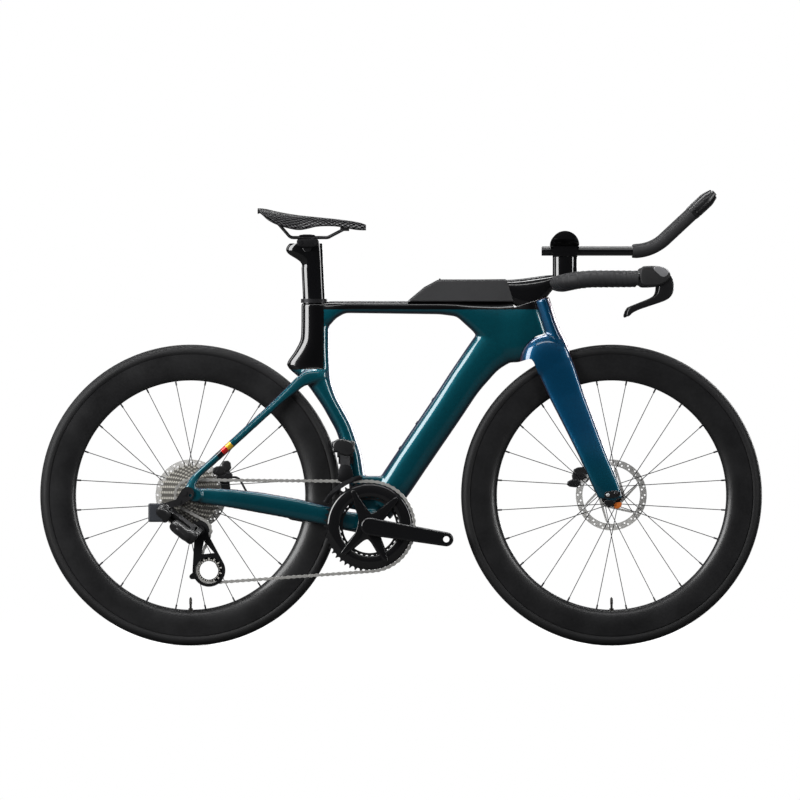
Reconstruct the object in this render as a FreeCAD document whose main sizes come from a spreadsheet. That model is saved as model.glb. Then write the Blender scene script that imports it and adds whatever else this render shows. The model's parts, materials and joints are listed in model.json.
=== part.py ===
import FreeCAD, Part
import math
import os

import Sketcher
from FreeCAD import Placement, Rotation, Vector

os.makedirs("parts", exist_ok=True)
doc = FreeCAD.newDocument("time_trial_bike")

# Driving dimensions, in millimetres and degrees. +X is forward, the drive side is -Y, +Z is up.
DRIVING = {
    "wheelbase": 948, "tyre_radius": 339, "tyre_width": 28, "tyre_wall": 3,
    "rim_flange": 6, "rim_depth": 59, "rim_wall": 2.5, "spoke_radius": 0.9, "nipple_radius": 1.9,
    "front_spacing": 100, "rear_spacing": 142, "axle_radius": 6, "running_fit": 0.05,
    "rotor_radius": 80, "rotor_track": 15, "rotor_thickness": 1.8,
    "chainstay_length": 409, "bb_drop": 70, "head_angle": 72.5, "fork_rake": 45,
    "crown_height": 332, "head_length": 137, "crown_radius": 65, "head_radius": 24, "steerer_radius": 14,
    "seat_setback": 126, "seat_height": 512, "post_chord": 50, "post_half_width": 12,
    "crank_length": 175, "crank_inner": 60, "crank_thickness": 14, "spindle_radius": 12,
    "shell_radius": 23, "shell_half_width": 34, "pedal_bore": 7,
    "chainline": 47, "ring_gap": 7, "cog_pitch": 3.6, "cog_thickness": 1.6, "bolt_circle": 55,
    "link_length": 62, "grip_half_spacing": 200, "extension_half_spacing": 58, "extension_radius": 10,
    "lever_thickness": 12, "clearance": 0.4, "wheel_gap": 19, "seat_tube_chord": 38, "fork_gap": 6,
}
sheet = doc.addObject("Spreadsheet::Sheet", "Dims")
for row, (alias, number) in enumerate(DRIVING.items(), start=1):
    sheet.set("A%d" % row, alias)
    sheet.set("B%d" % row, str(number))
    sheet.setAlias("B%d" % row, alias)
doc.recompute()


class Size(float):
    """A number that carries the spreadsheet formula it was worked out from."""

    def __new__(cls, number, formula):
        made = super().__new__(cls, number)
        made.formula = formula
        return made

    @staticmethod
    def text(value):
        return value.formula if isinstance(value, Size) else "%.6f" % value

    def __add__(self, other):
        return Size(float(self) + float(other), "(%s + %s)" % (self.formula, Size.text(other)))

    def __sub__(self, other):
        return Size(float(self) - float(other), "(%s - %s)" % (self.formula, Size.text(other)))

    def __mul__(self, other):
        return Size(float(self) * float(other), "(%s * %s)" % (self.formula, Size.text(other)))

    def __truediv__(self, other):
        return Size(float(self) / float(other), "(%s / %s)" % (self.formula, Size.text(other)))

    def __neg__(self):
        return Size(-float(self), "(-1 * %s)" % self.formula)

    __radd__ = __add__
    __rmul__ = __mul__

    def __rsub__(self, other):
        return -self + other


class Dims:
    """The sheet's cells as attributes."""


dims = Dims()
for alias in DRIVING:
    setattr(dims, alias, Size(float(sheet.get(alias)), "Dims." + alias))

ACROSS = Vector(0, 1, 0)
FORWARD = Vector(1, 0, 0)
UP = Vector(0, 0, 1)
nodes = {}


def keep(node, made):
    """Name a finished sub-part; its label is also its file name."""
    made.Label = node
    nodes[node] = made
    return made


def bind(target, prop, length):
    """Set a property, tied to the sheet where the length comes from it."""
    if isinstance(length, Size):
        target.setExpression(prop, length.formula)
    else:
        setattr(target, prop, length)


def point(x, y, z):
    return Vector(float(x), float(y), float(z))


def rod(name, radius, length, start, direction):
    """A cylinder from a start point along a direction."""
    made = doc.addObject("Part::Cylinder", name)
    bind(made, "Radius", radius)
    bind(made, "Height", length)
    made.Placement = Placement(start, Rotation(UP, direction))
    return made


def cut(name, base, tool):
    made = doc.addObject("Part::Cut", name)
    made.Base = base
    made.Tool = tool
    return made


def fuse(name, pieces):
    made = doc.addObject("Part::MultiFuse", name)
    made.Shapes = pieces
    made.Refine = True
    return made


def solids(name, shapes):
    """One object holding finished shapes side by side."""
    made = doc.addObject("Part::Feature", name)
    made.Shape = shapes[0] if len(shapes) == 1 else Part.makeCompound(shapes)
    return made


def group(name, pieces):
    """Several objects kept as one sub-part, each still its own solid."""
    made = doc.addObject("Part::Compound", name)
    made.Links = pieces
    return made


def plane_of(body, role):
    return [feature for feature in body.Origin.OriginFeatures if feature.Role == role][0]


def new_sketch(body, name, role):
    sketch = body.newObject("Sketcher::SketchObject", name)
    sketch.AttachmentSupport = (plane_of(body, role), [""])
    sketch.MapMode = "FlatFace"
    return sketch


def pin_point(sketch, edge, x, y):
    """Hold an edge's first point at x, y from the sketch origin."""
    for kind, axis, length in (("DistanceX", -2, x), ("DistanceY", -1, y)):
        if float(length) == 0:
            sketch.addConstraint(Sketcher.Constraint("PointOnObject", edge, 1, axis))
            continue
        row = sketch.addConstraint(Sketcher.Constraint(kind, -1, 1, edge, 1, float(length)))
        if isinstance(length, Size):
            sketch.setExpression("Constraints[%d]" % row, length.formula)


def polygon(sketch, corners):
    """A closed outline of straight edges whose corners follow the sheet."""
    first = sketch.GeometryCount
    count = len(corners)
    for i, (x, y) in enumerate(corners):
        x_next, y_next = corners[(i + 1) % count]
        sketch.addGeometry(Part.LineSegment(point(x, y, 0), point(x_next, y_next, 0)))
    for i in range(count):
        sketch.addConstraint(Sketcher.Constraint("Coincident", first + i, 2, first + (i + 1) % count, 1))
    for i, (x, y) in enumerate(corners):
        pin_point(sketch, first + i, x, y)


def circle(sketch, x, y, radius):
    """A full circle whose centre and radius follow the sheet."""
    edge = sketch.addGeometry(Part.Circle(point(x, y, 0), UP, float(radius)))
    row = sketch.addConstraint(Sketcher.Constraint("Radius", edge, float(radius)))
    if isinstance(radius, Size):
        sketch.setExpression("Constraints[%d]" % row, radius.formula)
    for kind, axis, length in (("DistanceX", -2, x), ("DistanceY", -1, y)):
        if float(length) == 0:
            sketch.addConstraint(Sketcher.Constraint("PointOnObject", edge, 3, axis))
            continue
        row = sketch.addConstraint(Sketcher.Constraint(kind, -1, 1, edge, 3, float(length)))
        if isinstance(length, Size):
            sketch.setExpression("Constraints[%d]" % row, length.formula)


def revolved(name, profiles, centre, axis=ACROSS):
    """A body turned from closed profiles of (radius, distance along the axis)."""
    body = doc.addObject("PartDesign::Body", name)
    sketch = new_sketch(body, name + "_profile", "XZ_Plane")
    for corners in profiles:
        polygon(sketch, corners)
    turn = body.newObject("PartDesign::Revolution", name + "_turn")
    turn.Profile = sketch
    turn.ReferenceAxis = (sketch, ["V_Axis"])
    turn.Angle = 360
    body.Placement = Placement(centre, Rotation(UP, axis))
    return body


def add_pad(body, sketch, length, midplane=False):
    pad = body.newObject("PartDesign::Pad", sketch.Name + "_pad")
    pad.Profile = sketch
    bind(pad, "Length", length)
    pad.SideType = "Symmetric" if midplane else "One side"
    return pad


def around(shape, centre, degrees, axis=ACROSS):
    """A copy of a shape turned about an axis through a centre."""
    made = shape.copy()
    made.rotate(centre, axis, degrees)
    return made


def section(first, second, half_width, y=0.0, squareness=2.2, count=16):
    """A closed rounded outline whose long axis joins two points of the side view."""
    middle = (first + second) * 0.5
    reach = (second - first) * 0.5
    power = 2.0 / squareness
    ring = []
    for i in range(count):
        turn = 2 * math.pi * i / count
        along = math.copysign(abs(math.cos(turn)) ** power, math.cos(turn))
        across = math.copysign(abs(math.sin(turn)) ** power, math.sin(turn))
        ring.append(middle + reach * along + Vector(0, y + across * half_width, 0))
    curve = Part.BSplineCurve()
    curve.interpolate(ring, PeriodicFlag=True)
    return Part.Wire(curve.toShape())


def tube_loft(stations, squareness=2.2):
    """A solid through stations of (edge point, edge point, half width, sideways place)."""
    wires = [section(a, b, width, y, squareness) for a, b, width, y in stations]
    return Part.makeLoft(wires, True, False)


# Anchors of the side view: axles, bottom bracket, seat tube top and steering axis.
rear = point(-dims.wheelbase / 2, 0, dims.tyre_radius)
front = point(dims.wheelbase / 2, 0, dims.tyre_radius)
bottom = rear + point(math.sqrt(dims.chainstay_length ** 2 - dims.bb_drop ** 2), 0, -dims.bb_drop)
seat = bottom + point(-dims.seat_setback, 0, dims.seat_height)
lean = math.radians(dims.head_angle)
steer_up = Vector(-math.cos(lean), 0, math.sin(lean))
steer_out = Vector(math.sin(lean), 0, math.cos(lean))
crown = front - steer_out * float(dims.fork_rake) + steer_up * float(dims.crown_height)
head_top = crown + steer_up * float(dims.head_length)


def near(anchor):
    """Points given by their distance forward of and above an anchor."""
    return lambda x, z: anchor + Vector(x, 0, z)


at_rear, at_front, at_bottom = near(rear), near(front), near(bottom)
at_seat, at_crown, at_head = near(seat), near(crown), near(head_top)

# Wheels: tyre, hollow rim, crossed spokes, hub, bearings, rotor and valve.
SPOKES = 24
CROSS_ANGLE = 60
BEARING_RADIUS = 13
BEARING_LENGTH = 7
HUB_SHELL = 16
FLANGE_RADIUS = 24
SPOKE_CIRCLE = 21
FLANGE_HALF = 1.5
bead = dims.tyre_radius - dims.tyre_width
rim_top = bead + dims.rim_flange
rim_bottom = rim_top - dims.rim_depth
half_tyre = dims.tyre_width / 2


def mirrored_profile(side):
    """Close a profile given for one side of the wheel's mid-plane."""
    return side + [(radius, -place) for radius, place in reversed(side)]


def make_tyre(name, centre):
    casing = doc.addObject("Part::Torus", name + "_casing")
    bind(casing, "Radius1", dims.tyre_radius - half_tyre)
    bind(casing, "Radius2", half_tyre)
    air = doc.addObject("Part::Torus", name + "_air")
    bind(air, "Radius1", dims.tyre_radius - half_tyre)
    bind(air, "Radius2", half_tyre - dims.tyre_wall)
    mouth = rod(name + "_mouth", bead + dims.tyre_wall * 1.2, dims.tyre_width / 2, Vector(0, 0, 0), UP)
    bind(mouth, "Placement.Base.z", -dims.tyre_width / 4)
    made = cut(name, casing, fuse(name + "_space", [air, mouth]))
    made.Placement = Placement(centre, Rotation(UP, ACROSS))
    return made


def make_rim(name, centre, drillings):
    outer = [(rim_top, half_tyre * 0.9), (rim_top, half_tyre * 0.98), (rim_top - 1.5, half_tyre),
             (rim_top - dims.rim_depth * 0.3, half_tyre * 1.03),
             (rim_top - dims.rim_depth * 0.62, half_tyre * 0.9),
             (rim_top - dims.rim_depth * 0.88, half_tyre * 0.6), (rim_bottom, half_tyre * 0.2)]
    bed = [(bead, half_tyre * -0.9), (bead, half_tyre * 0.9)]
    cavity = [(bead - dims.rim_wall, half_tyre - dims.rim_wall),
              (rim_top - dims.rim_depth * 0.6, half_tyre * 0.9 - dims.rim_wall),
              (rim_bottom + dims.rim_wall * 2.5, half_tyre * 0.5 - dims.rim_wall)]
    hoop = revolved(name + "_hoop", [mirrored_profile(outer) + bed, mirrored_profile(cavity)], centre)
    return cut(name, hoop, solids(name + "_drillings", drillings))


def make_spokes(centre, flange_places):
    """Spokes with elbow, head and nipple, and the drillings that the rim needs for them."""
    spokes, drillings = [], []
    for side, place in enumerate(flange_places):
        outward = math.copysign(1, place)
        for lead in (1, -1):
            # One spoke lies on the flange's outer face and the next on its inner face.
            face = place + outward * lead * (FLANGE_HALF + dims.spoke_radius)
            rim_angle = math.radians(180.0 / SPOKES * (2 * side + (2 - 2 * lead)) + 7.5)
            hub_angle = rim_angle + lead * math.radians(CROSS_ANGLE)
            start = Vector(SPOKE_CIRCLE * math.cos(hub_angle), face, SPOKE_CIRCLE * math.sin(hub_angle))
            end = Vector(rim_bottom * math.cos(rim_angle), outward * 1.5, rim_bottom * math.sin(rim_angle))
            run = end - start
            unit = run * (1 / run.Length)
            elbow_from = Vector(start.x, place - outward * lead * FLANGE_HALF, start.z)
            bend = start - elbow_from
            elbow = Part.makeCylinder(dims.spoke_radius, bend.Length, elbow_from, bend)
            button = Part.makeCylinder(dims.spoke_radius * 1.8, 1.0, elbow_from, -bend)
            blade = Part.makeCylinder(dims.spoke_radius, run.Length, start, unit)
            corner = Part.makeSphere(dims.spoke_radius, start)
            nipple = Part.makeCylinder(dims.nipple_radius, 14, end - unit * 9, unit)
            spoke = blade.multiFuse([elbow, button, corner, nipple])
            drilling = Part.makeCylinder(dims.nipple_radius, 20, end - unit * 8, unit)
            for copy in range(SPOKES // 4):
                turn = copy * 4 * 360.0 / SPOKES
                for made, kept in ((spoke, spokes), (drilling, drillings)):
                    placed = around(made, Vector(0, 0, 0), turn)
                    placed.translate(centre)
                    kept.append(placed)
    return spokes, drillings


def make_hub(name, centre, ends, flanges, spokes):
    """A hub shell between two bearing seats with a flange for each side's spokes."""
    low, high = ends
    profile = [(9, low + BEARING_LENGTH), (BEARING_RADIUS, low + BEARING_LENGTH), (BEARING_RADIUS, low),
               (HUB_SHELL, low)]
    for place in sorted(flanges):
        profile += [(HUB_SHELL, place - FLANGE_HALF), (FLANGE_RADIUS, place - FLANGE_HALF),
                    (FLANGE_RADIUS, place + FLANGE_HALF), (HUB_SHELL, place + FLANGE_HALF)]
    profile += [(HUB_SHELL, high), (BEARING_RADIUS, high), (BEARING_RADIUS, high - BEARING_LENGTH),
                (9, high - BEARING_LENGTH)]
    shell = revolved(name + "_shell", [profile], centre)
    return cut(name, shell, solids(name + "_spoke_seats", spokes))


def make_rotor(name, centre, place):
    """A brake disc: drilled track, slanted arms and a carrier seated on the hub shell."""
    body = doc.addObject("PartDesign::Body", name)
    track = new_sketch(body, name + "_track", "XY_Plane")
    circle(track, 0, 0, dims.rotor_radius)
    circle(track, 0, 0, dims.rotor_radius - dims.rotor_track)
    add_pad(body, track, dims.rotor_thickness)
    carrier = new_sketch(body, name + "_carrier", "XY_Plane")
    circle(carrier, 0, 0, HUB_SHELL + 14)
    circle(carrier, 0, 0, HUB_SHELL)
    add_pad(body, carrier, dims.rotor_thickness)
    arm = new_sketch(body, name + "_arm", "XY_Plane")
    reach = dims.rotor_radius - dims.rotor_track + 1
    polygon(arm, [(22, 12), (22, 20), (reach * 0.87, reach * -0.28), (reach * 0.9, reach * -0.41)])
    arm_pad = add_pad(body, arm, dims.rotor_thickness)
    arms = body.newObject("PartDesign::PolarPattern", name + "_arms")
    arms.Originals = [arm_pad]
    arms.Axis = (track, ["N_Axis"])
    arms.Angle = 360
    arms.Occurrences = 6
    body.Tip = arms
    drill = new_sketch(body, name + "_drill", "XY_Plane")
    circle(drill, dims.rotor_radius - dims.rotor_track * 0.3, 0, 2)
    circle(drill, dims.rotor_radius - dims.rotor_track * 0.68, 6, 2)
    pocket = body.newObject("PartDesign::Pocket", name + "_pocket")
    pocket.Profile = drill
    pocket.Type = 1
    pocket.Midplane = True
    holes = body.newObject("PartDesign::PolarPattern", name + "_holes")
    holes.Originals = [pocket]
    holes.Axis = (track, ["N_Axis"])
    holes.Angle = 360
    holes.Occurrences = 24
    body.Tip = holes
    body.Placement = Placement(centre + point(0, place - dims.rotor_thickness / 2, 0), Rotation(UP, ACROSS))
    return body


def make_wheel(name, centre, ends, flanges, rotor_place):
    spokes, drillings = make_spokes(centre, flanges)
    valve_way = Part.makeCylinder(3, rim_top - rim_bottom + 20, centre + point(0, 0, -rim_top), UP)
    keep(name + "_tyre", make_tyre(name + "_tyre", centre))
    # The valve stem runs from the rim bed to a capped end inside the spokes, with a nut on the rim.
    valve = revolved(name + "_valve", [[(0, bead - 1), (3, bead - 1), (3, rim_bottom), (5, rim_bottom),
                                        (5, rim_bottom - 3), (2.6, rim_bottom - 3), (2.6, rim_bottom - 26),
                                        (1.6, rim_bottom - 28), (0, rim_bottom - 28)]], centre, -UP)
    rim = make_rim(name + "_hoop_drilled", centre, drillings + [valve_way])
    keep(name + "_rim", group(name + "_rim_set", [rim, valve]))
    keep(name + "_spokes", solids(name + "_spoke_set", spokes))
    rings = []
    for low in (ends[0], ends[1] - BEARING_LENGTH):
        ring = Part.makeCylinder(BEARING_RADIUS, BEARING_LENGTH, centre + point(0, low, 0), ACROSS)
        bore = Part.makeCylinder(dims.axle_radius + dims.running_fit, 3 * BEARING_LENGTH,
                                 centre + point(0, low - BEARING_LENGTH, 0), ACROSS)
        rings.append(ring.cut(bore))
    hub = make_hub(name + "_hub_drilled", centre, ends, flanges, spokes)
    keep(name + "_hub", group(name + "_hub_set", [hub, solids(name + "_hub_bearings", rings)]))
    keep(name + "_rotor", make_rotor(name + "_rotor", centre, rotor_place))


front_half = dims.front_spacing / 2
rear_half = dims.rear_spacing / 2
make_wheel("front", front, (-(front_half - 6), front_half - 6), (-26, 26), front_half - 10.5)
make_wheel("rear", rear, (-22.5, rear_half - 9), (-19, 33), rear_half - 15.5)


def make_axle(name, centre, half, left_cap, right_cap):
    """A through axle with a shoulder inside each dropout and a head outside."""
    thick = dims.axle_radius
    bore = thick * 0.55
    profile = [(bore, -half - 12), (thick, -half - 12), (thick, -half), (thick + 2.5, -half),
               (thick + 2.5, right_cap), (thick, right_cap), (thick, left_cap), (thick + 2.5, left_cap),
               (thick + 2.5, half), (thick, half), (thick, half + 12), (bore, half + 12)]
    return keep(name, revolved(name, [profile], centre))


front_cap = front_half - 6 + dims.clearance
make_axle("front_axle", front, front_half, front_cap, -front_cap)
make_axle("rear_axle", rear, rear_half, rear_half - 9 + dims.clearance, -(rear_half - 3))

# Chain layout: four wheels of the chain in one plane, with the cage turned to suit whole links.
PITCH = 12.7
ROLLER = 3.85
RING_TEETH, SMALL_RING_TEETH, GUIDE_TEETH, TENSION_TEETH = 50, 34, 12, 14
COGS = (11, 12, 13, 14, 15, 17, 19, 21, 24, 27, 30, 34)
DRIVEN_COG = 5
CAGE_REACH = 92
CAGE_ANGLE = -81
chain_plane = point(0, -dims.chainline, 0)
guide = at_rear(22, -79) + chain_plane


def pitch_radius(teeth):
    return PITCH / (2 * math.sin(math.pi / teeth))


def flat(angle, reach):
    """A step in the side view."""
    return Vector(reach * math.cos(angle), 0, reach * math.sin(angle))


def chain_segments(cage_degrees):
    """Arcs and straight runs of the chain as (kind, length in pitches, data), and the tension pulley."""
    tension = guide + flat(math.radians(cage_degrees), CAGE_REACH)
    stops = [(bottom + chain_plane, RING_TEETH, -1), (tension, TENSION_TEETH, -1),
             (guide, GUIDE_TEETH, 1), (rear + chain_plane, COGS[DRIVEN_COG], -1)]
    headings = []
    for i, (start, teeth, sense) in enumerate(stops):
        end, end_teeth, end_sense = stops[(i + 1) % len(stops)]
        run = end - start
        lift = pitch_radius(teeth) * sense - pitch_radius(end_teeth) * end_sense
        headings.append(math.atan2(run.z, run.x) + math.asin(lift / run.Length))
    segments = []
    for i, (centre, teeth, sense) in enumerate(stops):
        arrive = headings[i - 1] - sense * math.pi / 2
        leave = headings[i] - sense * math.pi / 2
        wrap = (sense * (leave - arrive)) % (2 * math.pi)
        segments.append(("arc", wrap * teeth / (2 * math.pi), (centre, teeth, sense, arrive)))
        end, end_teeth, end_sense = stops[(i + 1) % len(stops)]
        depart = centre + flat(leave, pitch_radius(teeth))
        land = end + flat(headings[i] - end_sense * math.pi / 2, pitch_radius(end_teeth))
        segments.append(("run", (land - depart).Length / PITCH, (depart, headings[i])))
    return segments, tension


def chain_pitches(cage_degrees):
    return sum(length for kind, length, data in chain_segments(cage_degrees)[0])


# The chain closes on an even number of links; the cage is turned by halving until it does.
links = 2 * round(chain_pitches(CAGE_ANGLE) / 2)
low, high = CAGE_ANGLE - 30.0, CAGE_ANGLE + 30.0
rising = chain_pitches(high) > chain_pitches(low)
for halving in range(50):
    middle = (low + high) / 2
    if (chain_pitches(middle) < links) == rising:
        low = middle
    else:
        high = middle
segments, tension = chain_segments((low + high) / 2)

pins, gap_angles = [], []
travelled = 0.0
for kind, length, data in segments:
    first = math.ceil(travelled - 1e-9)
    steps = [step - travelled for step in range(first, math.ceil(travelled + length - 1e-9))]
    if kind == "arc":
        centre, teeth, sense, arrive = data
        turns = [arrive + sense * step * 2 * math.pi / teeth for step in steps]
        gap_angles.append(turns[0])
        pins += [centre + flat(turn, pitch_radius(teeth)) for turn in turns]
    else:
        depart, heading = data
        pins += [depart + flat(heading, step * PITCH) for step in steps]
    travelled += length
ring_gap_angle, tension_gap_angle, guide_gap_angle, cog_gap_angle = gap_angles

# Chain: alternating inner links with rollers and outer links with pins.
INNER_GAP, INNER_PLATE, OUTER_GAP, OUTER_PLATE = 1.1, 0.75, 1.93, 0.67
PLATE_RADIUS, PIN_RADIUS, PIN_WAY = 4.0, 1.75, 1.85


def stadium(radius, reach, low, thickness):
    """A rounded plate in the side view from the origin to a reach forward."""
    top = [Vector(0, low, radius), Vector(reach, low, radius)]
    foot = [Vector(reach, low, -radius), Vector(0, low, -radius)]
    edges = [Part.LineSegment(top[0], top[1]), Part.Arc(top[1], Vector(reach + radius, low, 0), foot[0]),
             Part.LineSegment(foot[0], foot[1]), Part.Arc(foot[1], Vector(-radius, low, 0), top[0])]
    return Part.Face(Part.Wire([edge.toShape() for edge in edges])).extrude(Vector(0, thickness, 0))


def y_rod(radius, x, z, low, high):
    return Part.makeCylinder(radius, high - low, point(x, low, z), ACROSS)


def plate_pair(gap, thickness):
    return [stadium(PLATE_RADIUS, PITCH, low, thickness) for low in (gap, -gap - thickness)]


inner_plates = plate_pair(INNER_GAP, INNER_PLATE)
rollers = [y_rod(ROLLER, x, 0, -INNER_GAP, INNER_GAP) for x in (0, PITCH)]
ways = [y_rod(PIN_WAY, x, 0, -3, 3) for x in (0, PITCH)]
inner_link = inner_plates[0].multiFuse(inner_plates[1:] + rollers).cut(Part.makeCompound(ways))
outer_plates = plate_pair(OUTER_GAP, OUTER_PLATE)
rivet_end = OUTER_GAP + OUTER_PLATE
rivets = [y_rod(PIN_RADIUS, x, 0, -rivet_end, rivet_end) for x in (0, PITCH)]
outer_link = outer_plates[0].multiFuse(outer_plates[1:] + rivets)
chain_links = []
for i, pin in enumerate(pins):
    run = pins[(i + 1) % len(pins)] - pin
    placed = (inner_link if i % 2 else outer_link).copy()
    placed.Placement = Placement(pin, Rotation(-ACROSS, math.degrees(math.atan2(run.z, run.x))))
    chain_links.append(placed)
keep("chain", solids("chain", chain_links))

# Toothed discs: a round seat for each roller, straight flanks and a flat tip.
SEAT = ROLLER + 0.15
TIP_HEIGHT, TIP_HALF = 2.6, 0.9


def toothed_disc(teeth, gap_angle, thickness, centre):
    radius = pitch_radius(teeth)
    edges = []

    def spot(turn, out, aside):
        return flat(turn, radius + out) + flat(turn + math.pi / 2, aside)

    for i in range(teeth):
        turn = gap_angle + 2 * math.pi * i / teeth
        tip = turn + math.pi / teeth
        start = spot(turn, -0.5 * SEAT, -0.866 * SEAT)
        floor = spot(turn, -SEAT, 0)
        end = spot(turn, -0.5 * SEAT, 0.866 * SEAT)
        tip_start = spot(tip, TIP_HEIGHT, -TIP_HALF)
        tip_end = spot(tip, TIP_HEIGHT, TIP_HALF)
        following = spot(turn + 2 * math.pi / teeth, -0.5 * SEAT, -0.866 * SEAT)
        edges += [Part.Arc(start, floor, end), Part.LineSegment(end, tip_start),
                  Part.LineSegment(tip_start, tip_end), Part.LineSegment(tip_end, following)]
    outline = Part.Wire([edge.toShape() for edge in edges])
    disc = Part.Face(outline).extrude(point(0, thickness, 0))
    disc.translate(centre - point(0, thickness / 2, 0))
    return disc


# Freehub, cassette with spacers and lockring: the sprocket in use lies in the chain's plane.
FREEHUB = 17
cog_places = [-dims.chainline + (i - DRIVEN_COG) * dims.cog_pitch for i in range(len(COGS))]
half_cog = dims.cog_thickness / 2
stack_end = cog_places[0] - half_cog
cogs = []
for i, (teeth, place) in enumerate(zip(COGS, cog_places)):
    turned = cog_gap_angle if i == DRIVEN_COG else 0
    disc = toothed_disc(teeth, turned, dims.cog_thickness, rear + point(0, place, 0))
    bore = y_rod(FREEHUB, rear.x, rear.z, place - 5, place + 5)
    cogs.append(disc.cut(bore))
    if i:
        gap_from = cog_places[i - 1] + half_cog
        spacer = y_rod(FREEHUB + 3, rear.x, rear.z, gap_from, place - half_cog)
        cogs.append(spacer.cut(y_rod(FREEHUB, rear.x, rear.z, gap_from - 5, place + 5)))
freehub_bore = dims.axle_radius + dims.running_fit
freehub_start = cog_places[-1] + half_cog
freehub = revolved("freehub", [[
    (freehub_bore, stack_end - 1), (FREEHUB - 3, stack_end - 1), (FREEHUB, stack_end),
    (FREEHUB, freehub_start), (FREEHUB + 2, freehub_start), (FREEHUB + 2, freehub_start + 0.8),
    (freehub_bore, freehub_start + 0.8)]], rear)
lockring = revolved("lockring", [[
    (FREEHUB - 3, stack_end - 1), (FREEHUB, stack_end), (FREEHUB + 2, stack_end),
    (FREEHUB + 2, stack_end - 1.8), (FREEHUB - 3, stack_end - 1.8)]], rear)
keep("cassette", group("cassette_set", [solids("sprockets", cogs), freehub, lockring]))

# Cranks: arm outlines with two round ends, a four-arm spider, rings, bolts, spindle and cups.
CRANK_ANGLE = -9.5
ROOT_RADIUS, EYE_RADIUS = 20, 16
SPIDER_TURNS = (55, 125, -125, -55)
BOLT_RADIUS = 5


def round_arm(start, end, start_radius, end_radius, low, high):
    """A plate with two round ends joined by tangents, between two places across the bike."""
    run = end - start
    heading = math.atan2(run.z, run.x)
    splay = math.acos((start_radius - end_radius) / run.Length)
    level = Vector(0, low, 0)
    first = [start + flat(heading + side * splay, start_radius) + level for side in (1, -1)]
    last = [end + flat(heading + side * splay, end_radius) + level for side in (1, -1)]
    edges = [Part.Arc(first[0], start + flat(heading + math.pi, start_radius) + level, first[1]),
             Part.LineSegment(first[1], last[1]),
             Part.Arc(last[1], end + flat(heading, end_radius) + level, last[0]),
             Part.LineSegment(last[0], first[0])]
    outline = Part.Wire([edge.toShape() for edge in edges])
    return Part.Face(outline).extrude(Vector(0, high - low, 0))


def soften(shape, radius, chosen):
    """Round the edges that a test picks."""
    return shape.makeFillet(radius, [edge for edge in shape.Edges if chosen(edge)])


def lies_at(place):
    return lambda edge: abs(edge.BoundBox.YMin - place) < 1e-3 and abs(edge.BoundBox.YMax - place) < 1e-3


crank_outer = dims.crank_inner + dims.crank_thickness
crank_turn = math.radians(CRANK_ANGLE)
ring_inner = dims.chainline - dims.ring_gap
tab_low, tab_high = -(dims.chainline - half_cog), -(ring_inner + half_cog)
spindle = Part.makeCylinder(dims.spindle_radius, 2 * dims.crank_inner + 8,
                            bottom - point(0, dims.crank_inner + 4, 0), ACROSS)
for node, side, turn in (("crank_right", -1, crank_turn), ("crank_left", 1, crank_turn + math.pi)):
    eye = bottom + flat(turn, dims.crank_length)
    low, high = sorted((side * dims.crank_inner, side * crank_outer))
    arm = round_arm(bottom, eye, ROOT_RADIUS, EYE_RADIUS, low, high)
    arm = soften(arm, 4, lies_at(side * crank_outer))
    boss_from = side * (dims.shell_half_width + 8)
    low, high = sorted((boss_from, side * dims.crank_inner))
    pieces = [y_rod(ROOT_RADIUS - 1, bottom.x, bottom.z, low, high)]
    if side < 0:
        for spider in SPIDER_TURNS:
            tip = bottom + flat(turn + math.radians(spider), dims.bolt_circle)
            pieces.append(round_arm(bottom, tip, 16, 11, tab_low, tab_high))
    arm = arm.multiFuse(pieces)
    bored = [spindle, y_rod(dims.pedal_bore, eye.x, eye.z, -200, 200)]
    for spider in SPIDER_TURNS:
        tip = bottom + flat(turn + math.radians(spider), dims.bolt_circle)
        bored.append(y_rod(BOLT_RADIUS, tip.x, tip.z, tab_low - 1, tab_high + 1))
    arm = arm.cut(Part.makeCompound(bored)).removeSplitter()
    keep(node, solids(node, [arm] if side < 0 else [arm, spindle]))

ring_tips = [bottom + flat(crank_turn + math.radians(spider), dims.bolt_circle) for spider in SPIDER_TURNS]
bolt_ways = Part.makeCompound([y_rod(BOLT_RADIUS, tip.x, tip.z, -90, 0) for tip in ring_tips])


def make_ring(teeth, gap_angle, place, band, web_radius, outer_band):
    """A chainring: toothed disc, open middle, and webs to the spider's tabs."""
    centre = bottom + point(0, place, 0)
    disc = toothed_disc(teeth, gap_angle, dims.cog_thickness, centre)
    low, high = place - half_cog, place + half_cog
    disc = disc.cut(y_rod(band, bottom.x, bottom.z, low - 1, high + 1))
    webs = []
    for tip in ring_tips:
        out = tip - bottom
        rim_point = bottom + out * ((band + 2) / out.Length)
        web = round_arm(tip, rim_point, 10, web_radius, low, high)
        webs.append(web.common(y_rod(band + 3, bottom.x, bottom.z, low, high)))
    if outer_band:
        collar = y_rod(band + 12, bottom.x, bottom.z, low - 2.2, low)
        webs.append(collar.cut(y_rod(band, bottom.x, bottom.z, low - 5, low + 5)))
    return disc.multiFuse(webs).removeSplitter().cut(bolt_ways)


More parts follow.
